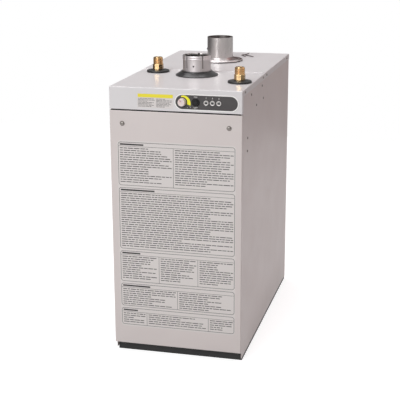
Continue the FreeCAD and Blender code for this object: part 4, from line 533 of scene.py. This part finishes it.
# %% Give every solid its finish
OWN_FINISH = {"intake_pipe": "intake_steel", "exhaust_pipe": "flue_steel", "exhaust_flange": "heat_tint_and_reflection_steel",
              "flue_clip": "clip_wire", "cold_water_grommet": "grommet_rubber",
              "hot_water_grommet": "grommet_rubber"}
for row in frame["record"]["subparts"]:
    for place in frame["nodes"][row["node"]].material_slots:
        place.material = FINISH[OWN_FINISH.get(row["node"], row["material_slot"])]

# %% [markdown]
# ## Tools for new pieces
#
# New pieces are modelled in their own place, so an object never has to be moved. A profile of a few points is
# spun about an axis for anything turned; a rounded plate starts as four points whose corners are bevelled and whose
# face is then extruded. The last step of every piece is the same: merge what meets, turn the faces outwards, name
# it, give it its finish and let it ride on its body.

# %% Mesh tools
FRONT = Vector((0, -1, 0))
UP = Vector((0, 0, 1))
SHARP = math.radians(32)
INK = 0.05
WELD = 0.000004
FINE_WELD = 0.0000005
SEAM_WELD = 0.000002
ACROSS_FRONT = (0, 2)
ACROSS_TOP = (0, 1)


def keep(bm, name, finish, body="cabinet", weld=WELD):
    """Turn a bmesh into a named piece that rides on a body."""
    bmesh.ops.remove_doubles(bm, verts=bm.verts, dist=weld)
    bmesh.ops.recalc_face_normals(bm, faces=bm.faces)
    for edge in bm.edges:
        edge.smooth = len(edge.link_faces) == 2 and edge.calc_face_angle(0) < SHARP
    for face in bm.faces:
        face.smooth = True
    piece = linked(name, to_mesh(bm, name))
    piece.data.materials.append(FINISH[finish])
    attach(piece, body)
    print(name, len(piece.data.polygons), "faces")
    return piece


def turned(bm, profile, base, axis=UP, steps=48, closed=True):
    """Spin (radius, height) points in mm about an axis through base; a closed profile makes a ring."""
    axis = Vector(axis).normalized()
    out = axis.orthogonal().normalized()
    base = Vector(base)
    verts = [bm.verts.new((base + out * r + axis * h) * MM) for r, h in profile]
    edges = [bm.edges.new(pair) for pair in zip(verts, verts[1:] + verts[:1] if closed else verts[1:])]
    bmesh.ops.spin(bm, geom=verts + edges, cent=base * MM, axis=axis, angle=math.tau, steps=steps, use_merge=True)
    bmesh.ops.remove_doubles(bm, verts=bm.verts, dist=SEAM_WELD)


def turned_piece(name, finish, profile, bases, axis=UP, steps=48, closed=True):
    """A piece of one turned shape on each base."""
    bm = bmesh.new()
    for base in bases:
        turned(bm, profile, base, axis, steps, closed)
    return keep(bm, name, finish)


def block(bm, middle, size):
    """A box about its middle, in mm."""
    made = bmesh.ops.create_cube(bm, size=1)["verts"]
    bmesh.ops.scale(bm, verts=made, vec=Vector(size) * MM)
    bmesh.ops.translate(bm, verts=made, vec=Vector(middle) * MM)
    return made


def outline(bm, rect, y, radius=0, segments=6):
    """A face in the front plane, rect being its x and z limits, with corners rounded where a radius is given."""
    x0, x1, z0, z1 = rect
    corners = [bm.verts.new(Vector(p) * MM) for p in ((x0, y, z0), (x1, y, z0), (x1, y, z1), (x0, y, z1))]
    face = bm.faces.new(corners)
    if radius <= 0:
        return face
    bevelled = bmesh.ops.bevel(bm, geom=corners, offset=radius * MM, offset_type="OFFSET", segments=segments,
                               profile=0.5, affect="VERTICES", material=-1)
    return max(bevelled["faces"] + [f for v in bevelled["verts"] for f in v.link_faces], key=lambda f: f.calc_area())


def lifted(bm, faces, thickness):
    """Extrude faces to the front and close the back, so that a flat sheet gets its thickness."""
    bmesh.ops.duplicate(bm, geom=faces)
    made = bmesh.ops.extrude_face_region(bm, geom=faces)["geom"]
    moved = [v for v in made if isinstance(v, bmesh.types.BMVert)]
    bmesh.ops.translate(bm, verts=moved, vec=FRONT * thickness * MM)
    bmesh.ops.delete(bm, geom=[f for f in faces if f.is_valid], context="FACES_ONLY")
    bmesh.ops.remove_doubles(bm, verts=bm.verts, dist=SEAM_WELD)


def inked(bm, name, finish):
    """Keep flat faces as print: a layer of ink thick."""
    lifted(bm, list(bm.faces), INK)
    keep(bm, name, finish)


def rounded_plate(bm, rect, y, radius, thickness, segments=6):
    lifted(bm, [outline(bm, rect, y, radius, segments)], thickness)


def rounded_ring(bm, rect, y, radius, thickness, width, segments=6):
    """A thin frame: the outline is inset, its middle deleted, and the rest lifted."""
    face = outline(bm, rect, y, radius, segments)
    rim = bmesh.ops.inset_region(bm, faces=[face], thickness=width * MM, use_boundary=True,
                                 use_even_offset=True)["faces"]
    bmesh.ops.delete(bm, geom=[face], context="FACES")
    lifted(bm, rim, thickness)


def reshape_round(bm, centre, across, rule):
    """Move vertices straight out from or in to an axis through centre, in mm; across names the two directions
    square to it. The rule turns a vertex's radius, angle and place into its new radius."""
    first, second = across
    for vert in bm.verts:
        place = vert.co / MM
        a, b = place[first] - centre[first], place[second] - centre[second]
        radius = math.hypot(a, b)
        wanted = rule(radius, math.atan2(b, a), place)
        if wanted != radius:
            vert.co[first] = (centre[first] + a * wanted / radius) * MM
            vert.co[second] = (centre[second] + b * wanted / radius) * MM


print("mesh tools ready")

# %% Tools that measure the solids


def box_mm(node):
    low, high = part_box(node)
    return low / MM, high / MM


def upright(node):
    """A round node's axis as a point on the floor, its radius, and its lowest and highest level, in mm."""
    low, high = box_mm(node)
    middle = (low + high) / 2
    return Vector((middle.x, middle.y, 0)), (high.x - low.x) / 2, low.z, high.z


def islands(node):
    """The boxes (low, high, in mm) of the separate solids of a node, left to right and bottom to top."""
    bm = bmesh.new()
    bm.from_mesh(frame["nodes"][node].data)
    bmesh.ops.remove_doubles(bm, verts=bm.verts, dist=SEAM_WELD)
    left, found = set(bm.verts), []
    while left:
        todo, mine = [left.pop()], []
        while todo:
            vert = todo.pop()
            mine.append(vert.co / MM)
            for edge in vert.link_edges:
                other = edge.other_vert(vert)
                if other in left:
                    left.remove(other)
                    todo.append(other)
        found.append(tuple(Vector([pick(c[k] for c in mine) for k in range(3)]) for pick in (min, max)))
    bm.free()
    return sorted(found, key=lambda pair: (round(pair[0].x), round(pair[0].y), round(pair[0].z)))


print("screws on the cabinet:", len(islands("cabinet_screws")))

# %% [markdown]
# ## Films on the front
#
# The front panel of such a heater carries one large printed film, and the strip a small one. These are blank forms:
# a service record with ruled boxes, rows and columns, and a small card for the date of the next service. A print
# could be painted on by a texture; thin raised shapes are used instead, because each rule then stays crisp from any
# distance. The rows are strokes of uneven length, as in a form that was filled in, drawn by a random generator with
# a fixed seed, so that they come out the same each time.

# %% Ruled service record
Y_PANEL = box_mm("front_panel")[0].y
FILM = 0.12
paint("film_pale", (222, 216, 213), bump=0.04, roughness=0.34, peel=120, mottle=0.01, coat=(0.3, 0.18))
moulded("ink_grey", (58, 55, 54), bump=0.02, roughness=0.5, pits=3000, bloom=0.12)
moulded("ink_light", (40, 38, 37), bump=0.02, roughness=0.5, pits=3000, bloom=0.12)
SHEET_X = (-154.0, 157.0)
BOXES = [(474.0, 590.0), (300.0, 468.0), (208.0, 294.0), (138.0, 202.0), (84.0, 132.0)]
TITLE_LENGTHS = (64, 92, 50, 76, 40)
TITLE_Z = (8.2, 4.0)
HEAD_RULE_Z = (11.4, 10.6)
FIRST_ROW = 17.0
ROW_PITCH = 6.0
ROW_HEIGHT = 2.0
ROW_ENDS = (1, 1, 0.94, 0.8, 0.55)
STROKE_LENGTHS = (2.4, 9)


def ruled_record():
    left, right = SHEET_X
    film = bmesh.new()
    rounded_plate(film, (left - 2, right + 2, BOXES[-1][0] - 4, BOXES[0][1] + 4), Y_PANEL, radius=9, thickness=FILM)
    keep(film, "service_record_film", "film_pale")
    frames = bmesh.new()
    for z0, z1 in BOXES:
        rounded_ring(frames, (left, right, z0, z1), Y_PANEL - FILM, radius=7, thickness=INK, width=1.1)
    keep(frames, "service_record_frames", "ink_grey")


def entries(bm, chance, x0, x1, z, height, y):
    """One row of short strokes of uneven length, like an entry in a filled-in form; some rows end early."""
    x, end = x0, x0 + (x1 - x0) * chance.choice(ROW_ENDS)
    while end - x > 2 * height:
        length = min(chance.uniform(*STROKE_LENGTHS) * height, end - x)
        outline(bm, (x, x + length, z, z + height), y)
        x += length + height


def record_rules():
    """Rows of entries in columns, under a thick stroke where each box has its title."""
    rules = bmesh.new()
    left, right = SHEET_X
    y = Y_PANEL - FILM
    chance = random.Random(5)
    columns = [(left, left + 148, right), (left, right), (left, left + 106, left + 212, right),
               (left, left + 156, right), (left, left + 70, left + 240, right)]
    for (z0, z1), stops, title in zip(BOXES, columns, TITLE_LENGTHS):
        outline(rules, (left + 5, left + 5 + title, z1 - TITLE_Z[0], z1 - TITLE_Z[1]), y)
        outline(rules, (left + 1.5, right - 1.5, z1 - HEAD_RULE_Z[0], z1 - HEAD_RULE_Z[1]), y)
        for x in stops[1:-1]:
            outline(rules, (x, x + 0.9, z0 + 1, z1 - 12), y)
        for k in range(int((z1 - z0 - 16) / ROW_PITCH)):
            for x0, x1 in zip(stops[:-1], stops[1:]):
                entries(rules, chance, x0 + 5, x1 - 4, z1 - FIRST_ROW - k * ROW_PITCH, ROW_HEIGHT, y)
    inked(rules, "service_record_rules", "ink_light")


ruled_record()
record_rules()

# %% Service card on the strip
paint("card_yellow", (240, 226, 60), bump=0.03, roughness=0.4, peel=160, mottle=0.02)
Y_STRIP = box_mm("front_top_cover")[0].y
CARD_X = (-99.0, -4.0)
CARD_Z = (682.0, 719.0)
CARD_ROWS = 7
CARD_PITCH = 3.3
CARD_ROW_HEIGHT = 1.15
CARD_FIRST_ROW = CARD_Z[1] - 14.0
HEAD_LOW, HEAD_HIGH = CARD_Z[1] - 10, CARD_Z[1] - 1


def service_card():
    left, right = CARD_X
    card = bmesh.new()
    rounded_plate(card, (left, right, *CARD_Z), Y_STRIP, radius=1.2, thickness=FILM)
    keep(card, "service_card", "film_pale")
    head = bmesh.new()
    block(head, ((left + right) / 2, Y_STRIP - FILM - INK / 2, (HEAD_LOW + HEAD_HIGH) / 2),
          (right - left - 2, INK, HEAD_HIGH - HEAD_LOW))
    keep(head, "service_card_head", "card_yellow")
    rules = bmesh.new()
    chance = random.Random(2)
    for x0, x1 in ((left + 2, left + 46), (left + 50, right - 2)):
        for k in range(CARD_ROWS):
            entries(rules, chance, x0, x1, CARD_FIRST_ROW - CARD_PITCH * k, CARD_ROW_HEIGHT, Y_STRIP - FILM)
    inked(rules, "service_card_rules", "ink_light")


service_card()

# %% [markdown]
# ## Controls
#
# The dark plate has a pale border, and round the knob a black ring of painted shadow and a yellow wedge that grows
# clockwise, the usual sign for "more". The knob itself is turned, but its grip has fine flutes: the side of the turned
# shape is simply pushed in and out as one goes round, which keeps it one closed skin. Its pointer is a small inlaid
# bar.

# %% Plate border, painted shadow ring round the knob, and wedge
PLATE_LOW, PLATE_HIGH = box_mm("control_escutcheon")
Y_PLATE = PLATE_LOW.y
KNOB_LOW, KNOB_HIGH = box_mm("temperature_knob")
KNOB = Vector(((KNOB_LOW.x + KNOB_HIGH.x) / 2, Y_PLATE, (KNOB_LOW.z + KNOB_HIGH.z) / 2))
paint("dial_yellow", (253, 247, 52), bump=0.02, roughness=0.4, peel=200, mottle=0.02)
# Matt black for the painted shadow round the knob's foot.
moulded("knob_shadow_black", (28, 26, 27), bump=0.02, roughness=0.4, pits=3000, bloom=0.02)
paint("ink_white", (252, 250, 247), bump=0.02, roughness=0.45, peel=300, mottle=0.02)


def plate_border():
    width, play = 2.6, 0.05
    bm = bmesh.new()
    rect = (PLATE_LOW.x - width, PLATE_HIGH.x + width, PLATE_LOW.z - width, PLATE_HIGH.z + width)
    rounded_ring(bm, rect, Y_STRIP, radius=(rect[3] - rect[2]) / 2 - 0.01, thickness=0.5, width=width - play,
                 segments=16)
    keep(bm, "control_plate_border", "ink_white")


# A black ring round the knob: painted shadow of the knob on the plate.
def knob_shadow_ring():
    inner, outer = 5.2, 12.6
    turned_piece("knob_shadow_ring", "knob_shadow_black", [(inner, 0), (outer, 0), (outer, INK), (inner, INK)],
                 [KNOB], FRONT, 72)


def dial_wedge():
    """A short radial edge is swept clockwise from 12 to 4 o'clock, then its outer points are moved out."""
    start, sweep = math.radians(102), math.radians(124)
    inner, narrow, wide = 12.9, 15.6, 22.6
    bm = bmesh.new()
    spoke = Vector((math.cos(start), 0, math.sin(start)))
    first = [bm.verts.new((KNOB + spoke * r) * MM) for r in (inner, narrow)]
    edge = bm.edges.new(first)
    bmesh.ops.spin(bm, geom=first + [edge], cent=KNOB * MM, axis=(0, 1, 0), angle=sweep, steps=40)

    def growing(radius, angle, place):
        if radius < (inner + narrow) / 2:
            return radius
        turn = max(0.0, min(1.0, (start - angle) / sweep))
        return narrow + (wide - narrow) * turn ** 0.9

    reshape_round(bm, KNOB, ACROSS_FRONT, growing)
    inked(bm, "dial_wedge", "dial_yellow")


plate_border()
knob_shadow_ring()
dial_wedge()

# %% Temperature knob
moulded("pointer_red", (168, 92, 80), bump=0.02, roughness=0.4, pits=2000, bloom=0.02)
FLUTES = 36
FLUTE_DEPTH = 0.32
POINTER_LEAN = math.radians(-32)


def fluted_knob():
    bm = bmesh.new()
    back = Vector((KNOB.x, KNOB_HIGH.y, KNOB.z))
    depth = KNOB_HIGH.y - KNOB_LOW.y
    profile = [(3.05, 0), (10.3, 0), (10.45, 0.25), (10.45, 1.8), (9.9, 2.3), (9.82, 3.2), (9.7, 6.0), (9.6, 9.4),
               (9.4, depth - 1.1), (9.0, depth - 0.45), (8.3, depth - 0.1), (7.6, depth), (6.6, depth - 0.12),
               (5.0, depth - 0.5), (2.5, depth - 0.72), (0, depth - 0.78)]
    turned(bm, profile, back, FRONT, 144, closed=False)
    shaft_hole = [(0, 7.2), (3.05, 7.2), (3.05, 0)]
    turned(bm, shaft_hole, back, FRONT, 144, closed=False)

    def fluted(radius, angle, place):
        if radius > 8.5 and 3.0 <= back.y - place.y <= depth - 0.8:
            return radius - FLUTE_DEPTH / 2 * (1 - math.cos(FLUTES * angle))
        return radius

    reshape_round(bm, KNOB, ACROSS_FRONT, fluted)
    piece = keep(bm, "temperature_knob_fluted", "knob_cream", body="temperature_control")
    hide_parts("temperature_knob")


def knob_pointer():
    bm = bmesh.new()
    rounded_plate(bm, (-0.8, 0.8, 2.4, 8.6), 0, radius=0.75, thickness=0.42, segments=4)
    place = Matrix.Translation(Vector((KNOB.x, KNOB_LOW.y + 0.5, KNOB.z)) * MM)
    bmesh.ops.transform(bm, matrix=place @ Matrix.Rotation(POINTER_LEAN, 4, "Y"), verts=bm.verts)
    keep(bm, "temperature_knob_pointer", "pointer_red", body="temperature_control")


fluted_knob()
knob_pointer()

# %% [markdown]
# ## Figures and lamp rings
#
# The plate carries plain figures: ON and OFF at the button, numbers at the lamps and at the ends of the dial. A text
# object is the simple way to letters; it is turned into a mesh before it is put in place, as every piece here is.

# %% Plain figures on the plate, rings of the lamps
BUTTON_LOW, BUTTON_HIGH = box_mm("power_button")
BUTTON_X = (BUTTON_LOW.x + BUTTON_HIGH.x) / 2
LAMPS = [((low + high) / 2).x for low, high in islands("lamp_bezels")]
SWITCH_SIZE, LAMP_SIZE, DIAL_SIZE = 5.6, 5.8, 4.6
WORDS = [("ON", BUTTON_X, KNOB.z + 13.6, SWITCH_SIZE), ("OFF", BUTTON_X, KNOB.z - 13.4, SWITCH_SIZE)]
WORDS += [(str(k + 1), x, KNOB.z + 11.8, LAMP_SIZE) for k, x in enumerate(LAMPS)]
WORDS += [("1", KNOB.x + 13.0, KNOB.z - 14.4, DIAL_SIZE), ("5", KNOB.x + 20.5, KNOB.z - 12.4, DIAL_SIZE)]


def plain_data(item):
    """An object's shape as plain mesh data, with its modifiers or its letters worked out."""
    bpy.context.view_layer.update()
    return bpy.data.meshes.new_from_object(item.evaluated_get(bpy.context.evaluated_depsgraph_get()))


def flat_text(word, x, z, size, y):
    """A word as a thin mesh in the front plane, centred on x and z."""
    curve = bpy.data.curves.new("word", "FONT")
    curve.body = word
    curve.size = size * MM
    curve.align_x = "CENTER"
    curve.align_y = "CENTER"
    curve.extrude = INK * MM / 2
    curve.resolution_u = 3
    holder = linked("word", curve)
    mesh = plain_data(holder)
    bpy.data.objects.remove(holder)
    bpy.data.curves.remove(curve)
    mesh.transform(Matrix.Translation(Vector((x, y - INK / 2, z)) * MM) @ Matrix.Rotation(math.pi / 2, 4, "X"))
    return mesh


def add_mesh(bm, mesh):
    """Add mesh data to a bmesh and remove it."""
    bm.from_mesh(mesh)
    bpy.data.meshes.remove(mesh)


def plate_figures():
    bm = bmesh.new()
    for word, x, z, size in WORDS:
        add_mesh(bm, flat_text(word, x, z, size, Y_PLATE))
    keep(bm, "plate_figures", "ink_white", weld=FINE_WELD)


def flared_lamp_rings():
    """Each ring's face is a shallow funnel, so its lower half catches the light from above."""
    section = [(3.8, 0), (6.4, 0), (6.4, 1.4), (6.15, 2.15), (5.8, 2.5), (5.6, 2.45), (3.62, 1.12), (3.8, 0.95)]
    rings = turned_piece("lamp_rings_flared", "lamp_chrome", section,
                         [(x, Y_PLATE, KNOB.z) for x in LAMPS], FRONT)
    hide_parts("lamp_bezels")


plate_figures()
flared_lamp_rings()

# %% [markdown]
# ## Painted shadow in a gap, and a rolled edge
#
# The gap between the front panel and the strip is made dark by a matt black block set in it, a painted shadow, and
# the folded front edge of the rear cover shines as a thin bright line. Both are plain shapes, but without them the
# joints of the cabinet look like lines drawn on one box.

# %% Painted shadow block behind the strip's lower edge, rolled edge of the rear cover
SHADOW_BLOCK_WIDTH, SHADOW_BLOCK_DEPTH = 340, 8
ROLL_HALF, ROLL_RADIUS = 171.0, 0.9


# A matt black block in the gap under the strip: painted shadow.
def gap_shadow_block():
    panel_top, strip_bottom = box_mm("front_panel")[1].z, box_mm("front_top_cover")[0].z
    gap = strip_bottom - panel_top
    bm = bmesh.new()
    block(bm, (0, Y_PANEL + 5.0, panel_top + gap / 2), (SHADOW_BLOCK_WIDTH, SHADOW_BLOCK_DEPTH, gap - 0.1))
    keep(bm, "front_gap_painted_shadow", "painted_shadow_black")


def rolled_edge():
    low, high = box_mm("rear_top_cover")
    turned_piece("rear_cover_rolled_edge", "cover_gloss",
                 [(0, -ROLL_HALF), (ROLL_RADIUS, -ROLL_HALF), (ROLL_RADIUS, ROLL_HALF), (0, ROLL_HALF)],
                 [(0, low.y + 0.4, high.z - ROLL_RADIUS)], (1, 0, 0), 16, closed=False)


gap_shadow_block()
rolled_edge()

# %% [markdown]
# ## Screws
#
# The solids show each screw as a plain head. A real one has a cross recess, a rolled edge and, on the front panel, a
# plain washer. One head is turned, a cross-shaped cutter is subtracted with a Boolean modifier, and the result is
# copied to every place where the frame has a screw.

# %% Cross-recessed heads
RECESS_WIDTH = 0.85
SIDE_X = 160
TURN_PER_SCREW = 0.7


def recess_cutter(arm, depth):
    """Two crossed bars that narrow downwards, pointing along -Z from a head's top."""
    bm = bmesh.new()
    for turn in (0, math.pi / 2):
        made = block(bm, (0, 0, 0), (2 * arm, RECESS_WIDTH, 2 * depth))
        for vert in made:
            if vert.co.z < 0:
                vert.co.x *= 0.35
                vert.co.y *= 0.7
        bmesh.ops.rotate(bm, verts=made, cent=(0, 0, 0), matrix=Matrix.Rotation(turn, 3, "Z"))
    return bm


def cut_mesh(bm, cutter):
    """Subtract a cutter from a bmesh with a Boolean modifier and give back plain mesh data."""
    body = linked("head", to_mesh(bm, "head"))
    tool = linked("cutter", to_mesh(cutter, "cutter"))
    modifier = body.modifiers.new("cut", "BOOLEAN")
    modifier.object = tool
    modifier.solver = "EXACT"
    modifier.use_self = True
    cut = plain_data(body)
    for item in (tool, body):
        bpy.data.objects.remove(item)
    return cut


def add_turned(mesh, profile, **settings):
    """Add a shape turned about the Z axis to mesh data."""
    bm = bmesh.new()
    bm.from_mesh(mesh)
    turned(bm, profile, (0, 0, 0), **settings)
    bm.to_mesh(mesh)
    bm.free()


def pan_head(radius, height, arm, washer=None):
    """A pan head with its recess, standing on z = 0 or on a washer given by radius and height, and pointing up."""
    seat = washer[1] if washer else 0.0
    sunk = seat - 0.2 if washer else 0.0
    bm = bmesh.new()
    profile = [(0, sunk), (radius * 0.96, sunk), (radius, seat + 0.25 * height), (radius * 0.97, seat + 0.5 * height),
               (radius * 0.8, seat + 0.82 * height), (radius * 0.5, seat + 0.96 * height), (0, seat + height)]
    turned(bm, profile, (0, 0, 0), steps=40, closed=False)
    bmesh.ops.recalc_face_normals(bm, faces=bm.faces)
    cutter = recess_cutter(arm, height * 0.72)
    bmesh.ops.translate(cutter, verts=cutter.verts, vec=(0, 0, (seat + height) * MM))
    head = cut_mesh(bm, cutter)
    if washer:
        rim, hole = washer[0], 0.5 * radius
        add_turned(head, [(hole, 0), (rim - 0.2, 0), (rim, 0.2), (rim, seat - 0.25), (rim - 0.25, seat), (hole, seat)])
    return head


def place_screws(name, node, head, head_height, shank):
    """Copy a head with its shank to each solid of the node, facing the way that the solid's head faces."""
    radius, length = shank
    add_turned(head, [(0, -length), (radius * 0.5, -length), (radius, 0.9 - length), (radius, 0.3), (0, 0.3)],
               steps=16, closed=False)
    bm = bmesh.new()
    for number, (low, high) in enumerate(islands(node)):
        middle = (low + high) / 2
        if high.x - low.x > high.y - low.y or abs(middle.x) > SIDE_X:
            side = 1 if middle.x > 0 else -1
            turn = Matrix.Rotation(side * math.pi / 2, 4, "Y")
            seat = Vector(((high.x if side > 0 else low.x) - side * head_height, middle.y, middle.z))
        else:
            turn = Matrix.Rotation(math.pi / 2, 4, "X")
            seat = Vector((middle.x, low.y + head_height, middle.z))
        spin = Matrix.Rotation(TURN_PER_SCREW * number, 4, "Z")
        copy = head.copy()
        copy.transform(Matrix.Translation(seat * MM) @ turn @ spin)
        add_mesh(bm, copy)
    bpy.data.meshes.remove(head)
    piece = keep(bm, name, "screw_steel", weld=FINE_WELD)
    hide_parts(node)


place_screws("front_panel_cross_screws", "front_panel_screws", pan_head(4.6, 3.0, arm=2.2, washer=(6.5, 1.0)),
             head_height=4.0, shank=(2.0, 22.0))
place_screws("cabinet_cross_screws", "cabinet_screws", pan_head(3.5, 1.8, arm=1.9), head_height=1.8,
             shank=(1.6, 7.0))

# %% [markdown]
# ## Threads on the water nipples
#
# A thread is a small tooth carried along a helix. Bmesh can do that with its spin operator, because each step may
# also move along the axis: the tooth's outline is spun about nine turns, one pitch per turn. A turned core closes
# the inside. The collar starts as a cylinder whose side is pushed out to eight flats, and its corners are then cut
# back by a cone, as on any machined fitting. Its flats carry painted shade: each face of the mesh carries a value by
# the way that it faces, and the brass reads it to darken whole flats, which no noise could pick out.

# %% Brass nipples
PITCH = 1.814
THREAD_RADIUS = 13.3
THREAD_CORE = THREAD_RADIUS - 0.8
THREAD_LENGTH = 19
CHAMFER = 2.4
COLLAR_SIDES = 8
COLLAR_FLATS = 27.5
COLLAR_LENGTH = 17
# Painted shade on the collar's flats, by the compass way that each flat faces, in degrees from the right: the flat
# that faces the front stays light, the ones beside it are darkened.
FACET_SHADE = {270: 0.0, 225: 0.4, 315: 0.5, 0: 0.5}
UNSEEN_FACET_SHADE = 0.25


def helix_thread(bm, centre, z0, z1):
    steps_per_turn = 36
    steps = int((z1 - z0 - PITCH) / PITCH * steps_per_turn)
    start = z0 + PITCH / 2
    root, core, crest = THREAD_CORE - 0.4, THREAD_CORE, THREAD_RADIUS
    tooth = [(root, -0.5), (core, -0.46), (crest, -0.24), (crest, 0.24), (core, 0.46), (root, 0.5)]
    verts = [bm.verts.new(Vector((centre.x + r, centre.y, start + part * PITCH)) * MM) for r, part in tooth]
    cap = bm.faces.new(verts)
    bmesh.ops.spin(bm, geom=[cap] + list(cap.edges) + verts, cent=centre * MM, axis=UP,
                   dvec=(0, 0, PITCH / steps_per_turn * MM), angle=math.tau * steps / steps_per_turn, steps=steps)


def faceted_collar(bm, centre, z0, z1):
    """A cylinder pushed out to flats all round, its corners turned back at both ends."""
    share = math.tau / COLLAR_SIDES
    half = COLLAR_FLATS / 2
    corner, bore = half / math.cos(share / 2), 9.6
    heights = [(z0, 0.95), (z0 + 1.0, 1.0), (z0 + 3, 1.0), (z1 - 3, 1.0), (z1 - 1.0, 1.0), (z1, 0.94)]
    collar = bmesh.new()
    turned(collar, [(bore, z0)] + [(corner, z) for z, _ in heights] + [(bore, z1)], centre, UP, 10 * COLLAR_SIDES)

    def flattened(radius, angle, place):
        if radius < corner - 1:
            return radius
        from_flat = (angle + share / 2) % share - share / 2
        cone = min((corner * part for height, part in heights if abs(height - place.z) < 0.01), default=corner)
        return min(half / math.cos(from_flat), cone)

    reshape_round(collar, centre, ACROSS_TOP, flattened)
    add_mesh(bm, to_mesh(collar, "collar"))


def brass_nipple(name, node):
    centre, _, foot, top = upright(node)
    start = top - THREAD_LENGTH
    low, high = start - COLLAR_LENGTH + 0.5, start - 0.5
    bore, neck = 9.5, 12.95
    bm = bmesh.new()
    turned(bm, [(bore, foot), (neck, foot), (neck, low), (THREAD_CORE, start - 0.6), (THREAD_CORE, top - 1.4),
                (THREAD_CORE - 0.7, top), (bore + 0.8, top), (bore, top - 0.8)], centre)
    faceted_collar(bm, centre, start - COLLAR_LENGTH, start)
    helix_thread(bm, centre, start + 0.4, top - 0.5)

    def tapered(radius, angle, place):
        above = place.z - top + CHAMFER
        return radius if above <= 0 else min(radius, THREAD_RADIUS - 0.62 * above)

    reshape_round(bm, centre, ACROSS_TOP, tapered)
    piece = keep(bm, name, "brass", weld=FINE_WELD)
    # Each flat of the collar gets its painted shade.
    tone = piece.data.attributes.new("flat_painted_shade", "FLOAT", "FACE")
    for face in piece.data.polygons:
        if low < face.center.z / MM < high and abs(face.normal.z) < 0.5:
            compass = round(math.degrees(math.atan2(face.normal.y, face.normal.x)) / 45) * 45 % 360
            tone.data[face.index].value = FACET_SHADE.get(compass, UNSEEN_FACET_SHADE)
    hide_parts(node)


brass_nipple("cold_nipple_threaded", "cold_water_nipple")
brass_nipple("hot_nipple_threaded", "hot_water_nipple")

# %% [markdown]
# ## Small things on the stubs
#
# The flue stub is rolled from sheet, so it has one weld seam at the back, and a small dark screw holds it at its
# left. The mouth of the intake stub is turned in to a narrow lip, which the bayonet channels interrupt: one section
# of the lip is spun from each channel to the next, so the gaps need no cutting.

# %% Seam and screw of the flue stub, lip of the intake stub
SEAM_FOOT = 748.0
SEAM_WIDTH, SEAM_DEPTH = 3.0, 0.9
STUB_SCREW_BEARING = math.radians(-163)
STUB_SCREW_HEIGHT = 770
CHANNELS = 5
CHANNEL_START = -50.3
LIP_GAP = 11.0


def stub_details():
    stub, radius, _, top = upright("exhaust_pipe")
    stub.x = 0  # the stub stands on the middle plane, and the box of its facets is a little beside it
    end = top - 0.5
    seam = bmesh.new()
    block(seam, (0, stub.y + radius, (SEAM_FOOT + end) / 2), (SEAM_WIDTH, SEAM_DEPTH, end - SEAM_FOOT))
    bmesh.ops.bevel(seam, geom=list(seam.edges), offset=0.4 * MM, segments=2, profile=0.5, affect="EDGES",
                    material=-1)
    keep(seam, "flue_stub_seam", "stainless")
    outward = Vector((math.cos(STUB_SCREW_BEARING), math.sin(STUB_SCREW_BEARING), 0))
    turned_piece("flue_stub_screw", "base_black",
                 [(0, -2.0), (1.5, -2.0), (1.5, 0.1), (2.9, 0.1), (2.8, 0.8), (1.9, 1.4), (0, 1.6)],
                 [stub + outward * radius + UP * STUB_SCREW_HEIGHT], outward, 24, closed=False)


def intake_lip():
    centre, _, _, top = upright("intake_pipe")
    outer, inner = 36.62, 33.4
    section = [(outer, top - 2.0), (outer, top - 0.3), (outer - 0.5, top + 0.1), (inner + 0.9, top + 0.1),
               (inner + 0.2, top - 0.3), (inner, top - 1.2), (inner, top - 4.5), (inner + 0.6, top - 4.5),
               (inner + 0.7, top - 1.4), (inner + 1.4, top - 1.0)]
    bm = bmesh.new()
    for k in range(CHANNELS):
        start = math.radians(CHANNEL_START + 360 / CHANNELS * k + LIP_GAP / 2)
        spoke = Vector((math.cos(start), math.sin(start), 0))
        verts = [bm.verts.new((centre + spoke * r + UP * z) * MM) for r, z in section]
        cap = bm.faces.new(verts)
        bmesh.ops.spin(bm, geom=[cap] + list(cap.edges) + verts, cent=centre * MM, axis=UP,
                       angle=math.radians(360 / CHANNELS - LIP_GAP), steps=20)
    keep(bm, "intake_mouth_lip", "stainless")


stub_details()
intake_lip()

# %% [markdown]
# ## Rubber rims and a painted shadow ring on the cover
#
# Each water grommet ends in a thick rolled rim that lies on the cover, and under the flue collar a matt black ring
# paints the shadow line. These rings set brass and steel off from the pale top, so both get a section of their own,
# turned about the axis of the solid that they belong to.

# %% Rims of the grommets, painted shadow ring under the flue collar
GROMMET_HEIGHT = 7.5


def grommet_rims():
    bm = bmesh.new()
    for node in ("cold_water_grommet", "hot_water_grommet"):
        axis, r, _, top = upright(node)
        section = [(r - 0.3, 0.1), (r, 0.9), (r, 3.4), (r - 0.4, 4.5), (r - 1.3, 5.3), (r - 3, 5.7), (r - 6, 5.9),
                   (r - 9, 6.3), (r - 9, 4.5), (r - 2, 1.0)]
        turned(bm, section, axis + UP * (top - GROMMET_HEIGHT), UP, 64)
    keep(bm, "water_grommet_rims", "grommet_rubber")


# A matt black ring under the edge of the flue collar: painted shadow.
def flange_shadow_ring():
    axis, r, cover, _ = upright("exhaust_flange")
    section = [(r + 0.15, 0.05), (r + 0.15, 1.3), (r - 0.6, 1.6), (r - 4, 1.3), (r - 4, 0.05)]
    turned_piece("flue_collar_painted_shadow", "painted_shadow_black", section, [axis + UP * cover], steps=96)


grommet_rims()
flange_shadow_ring()
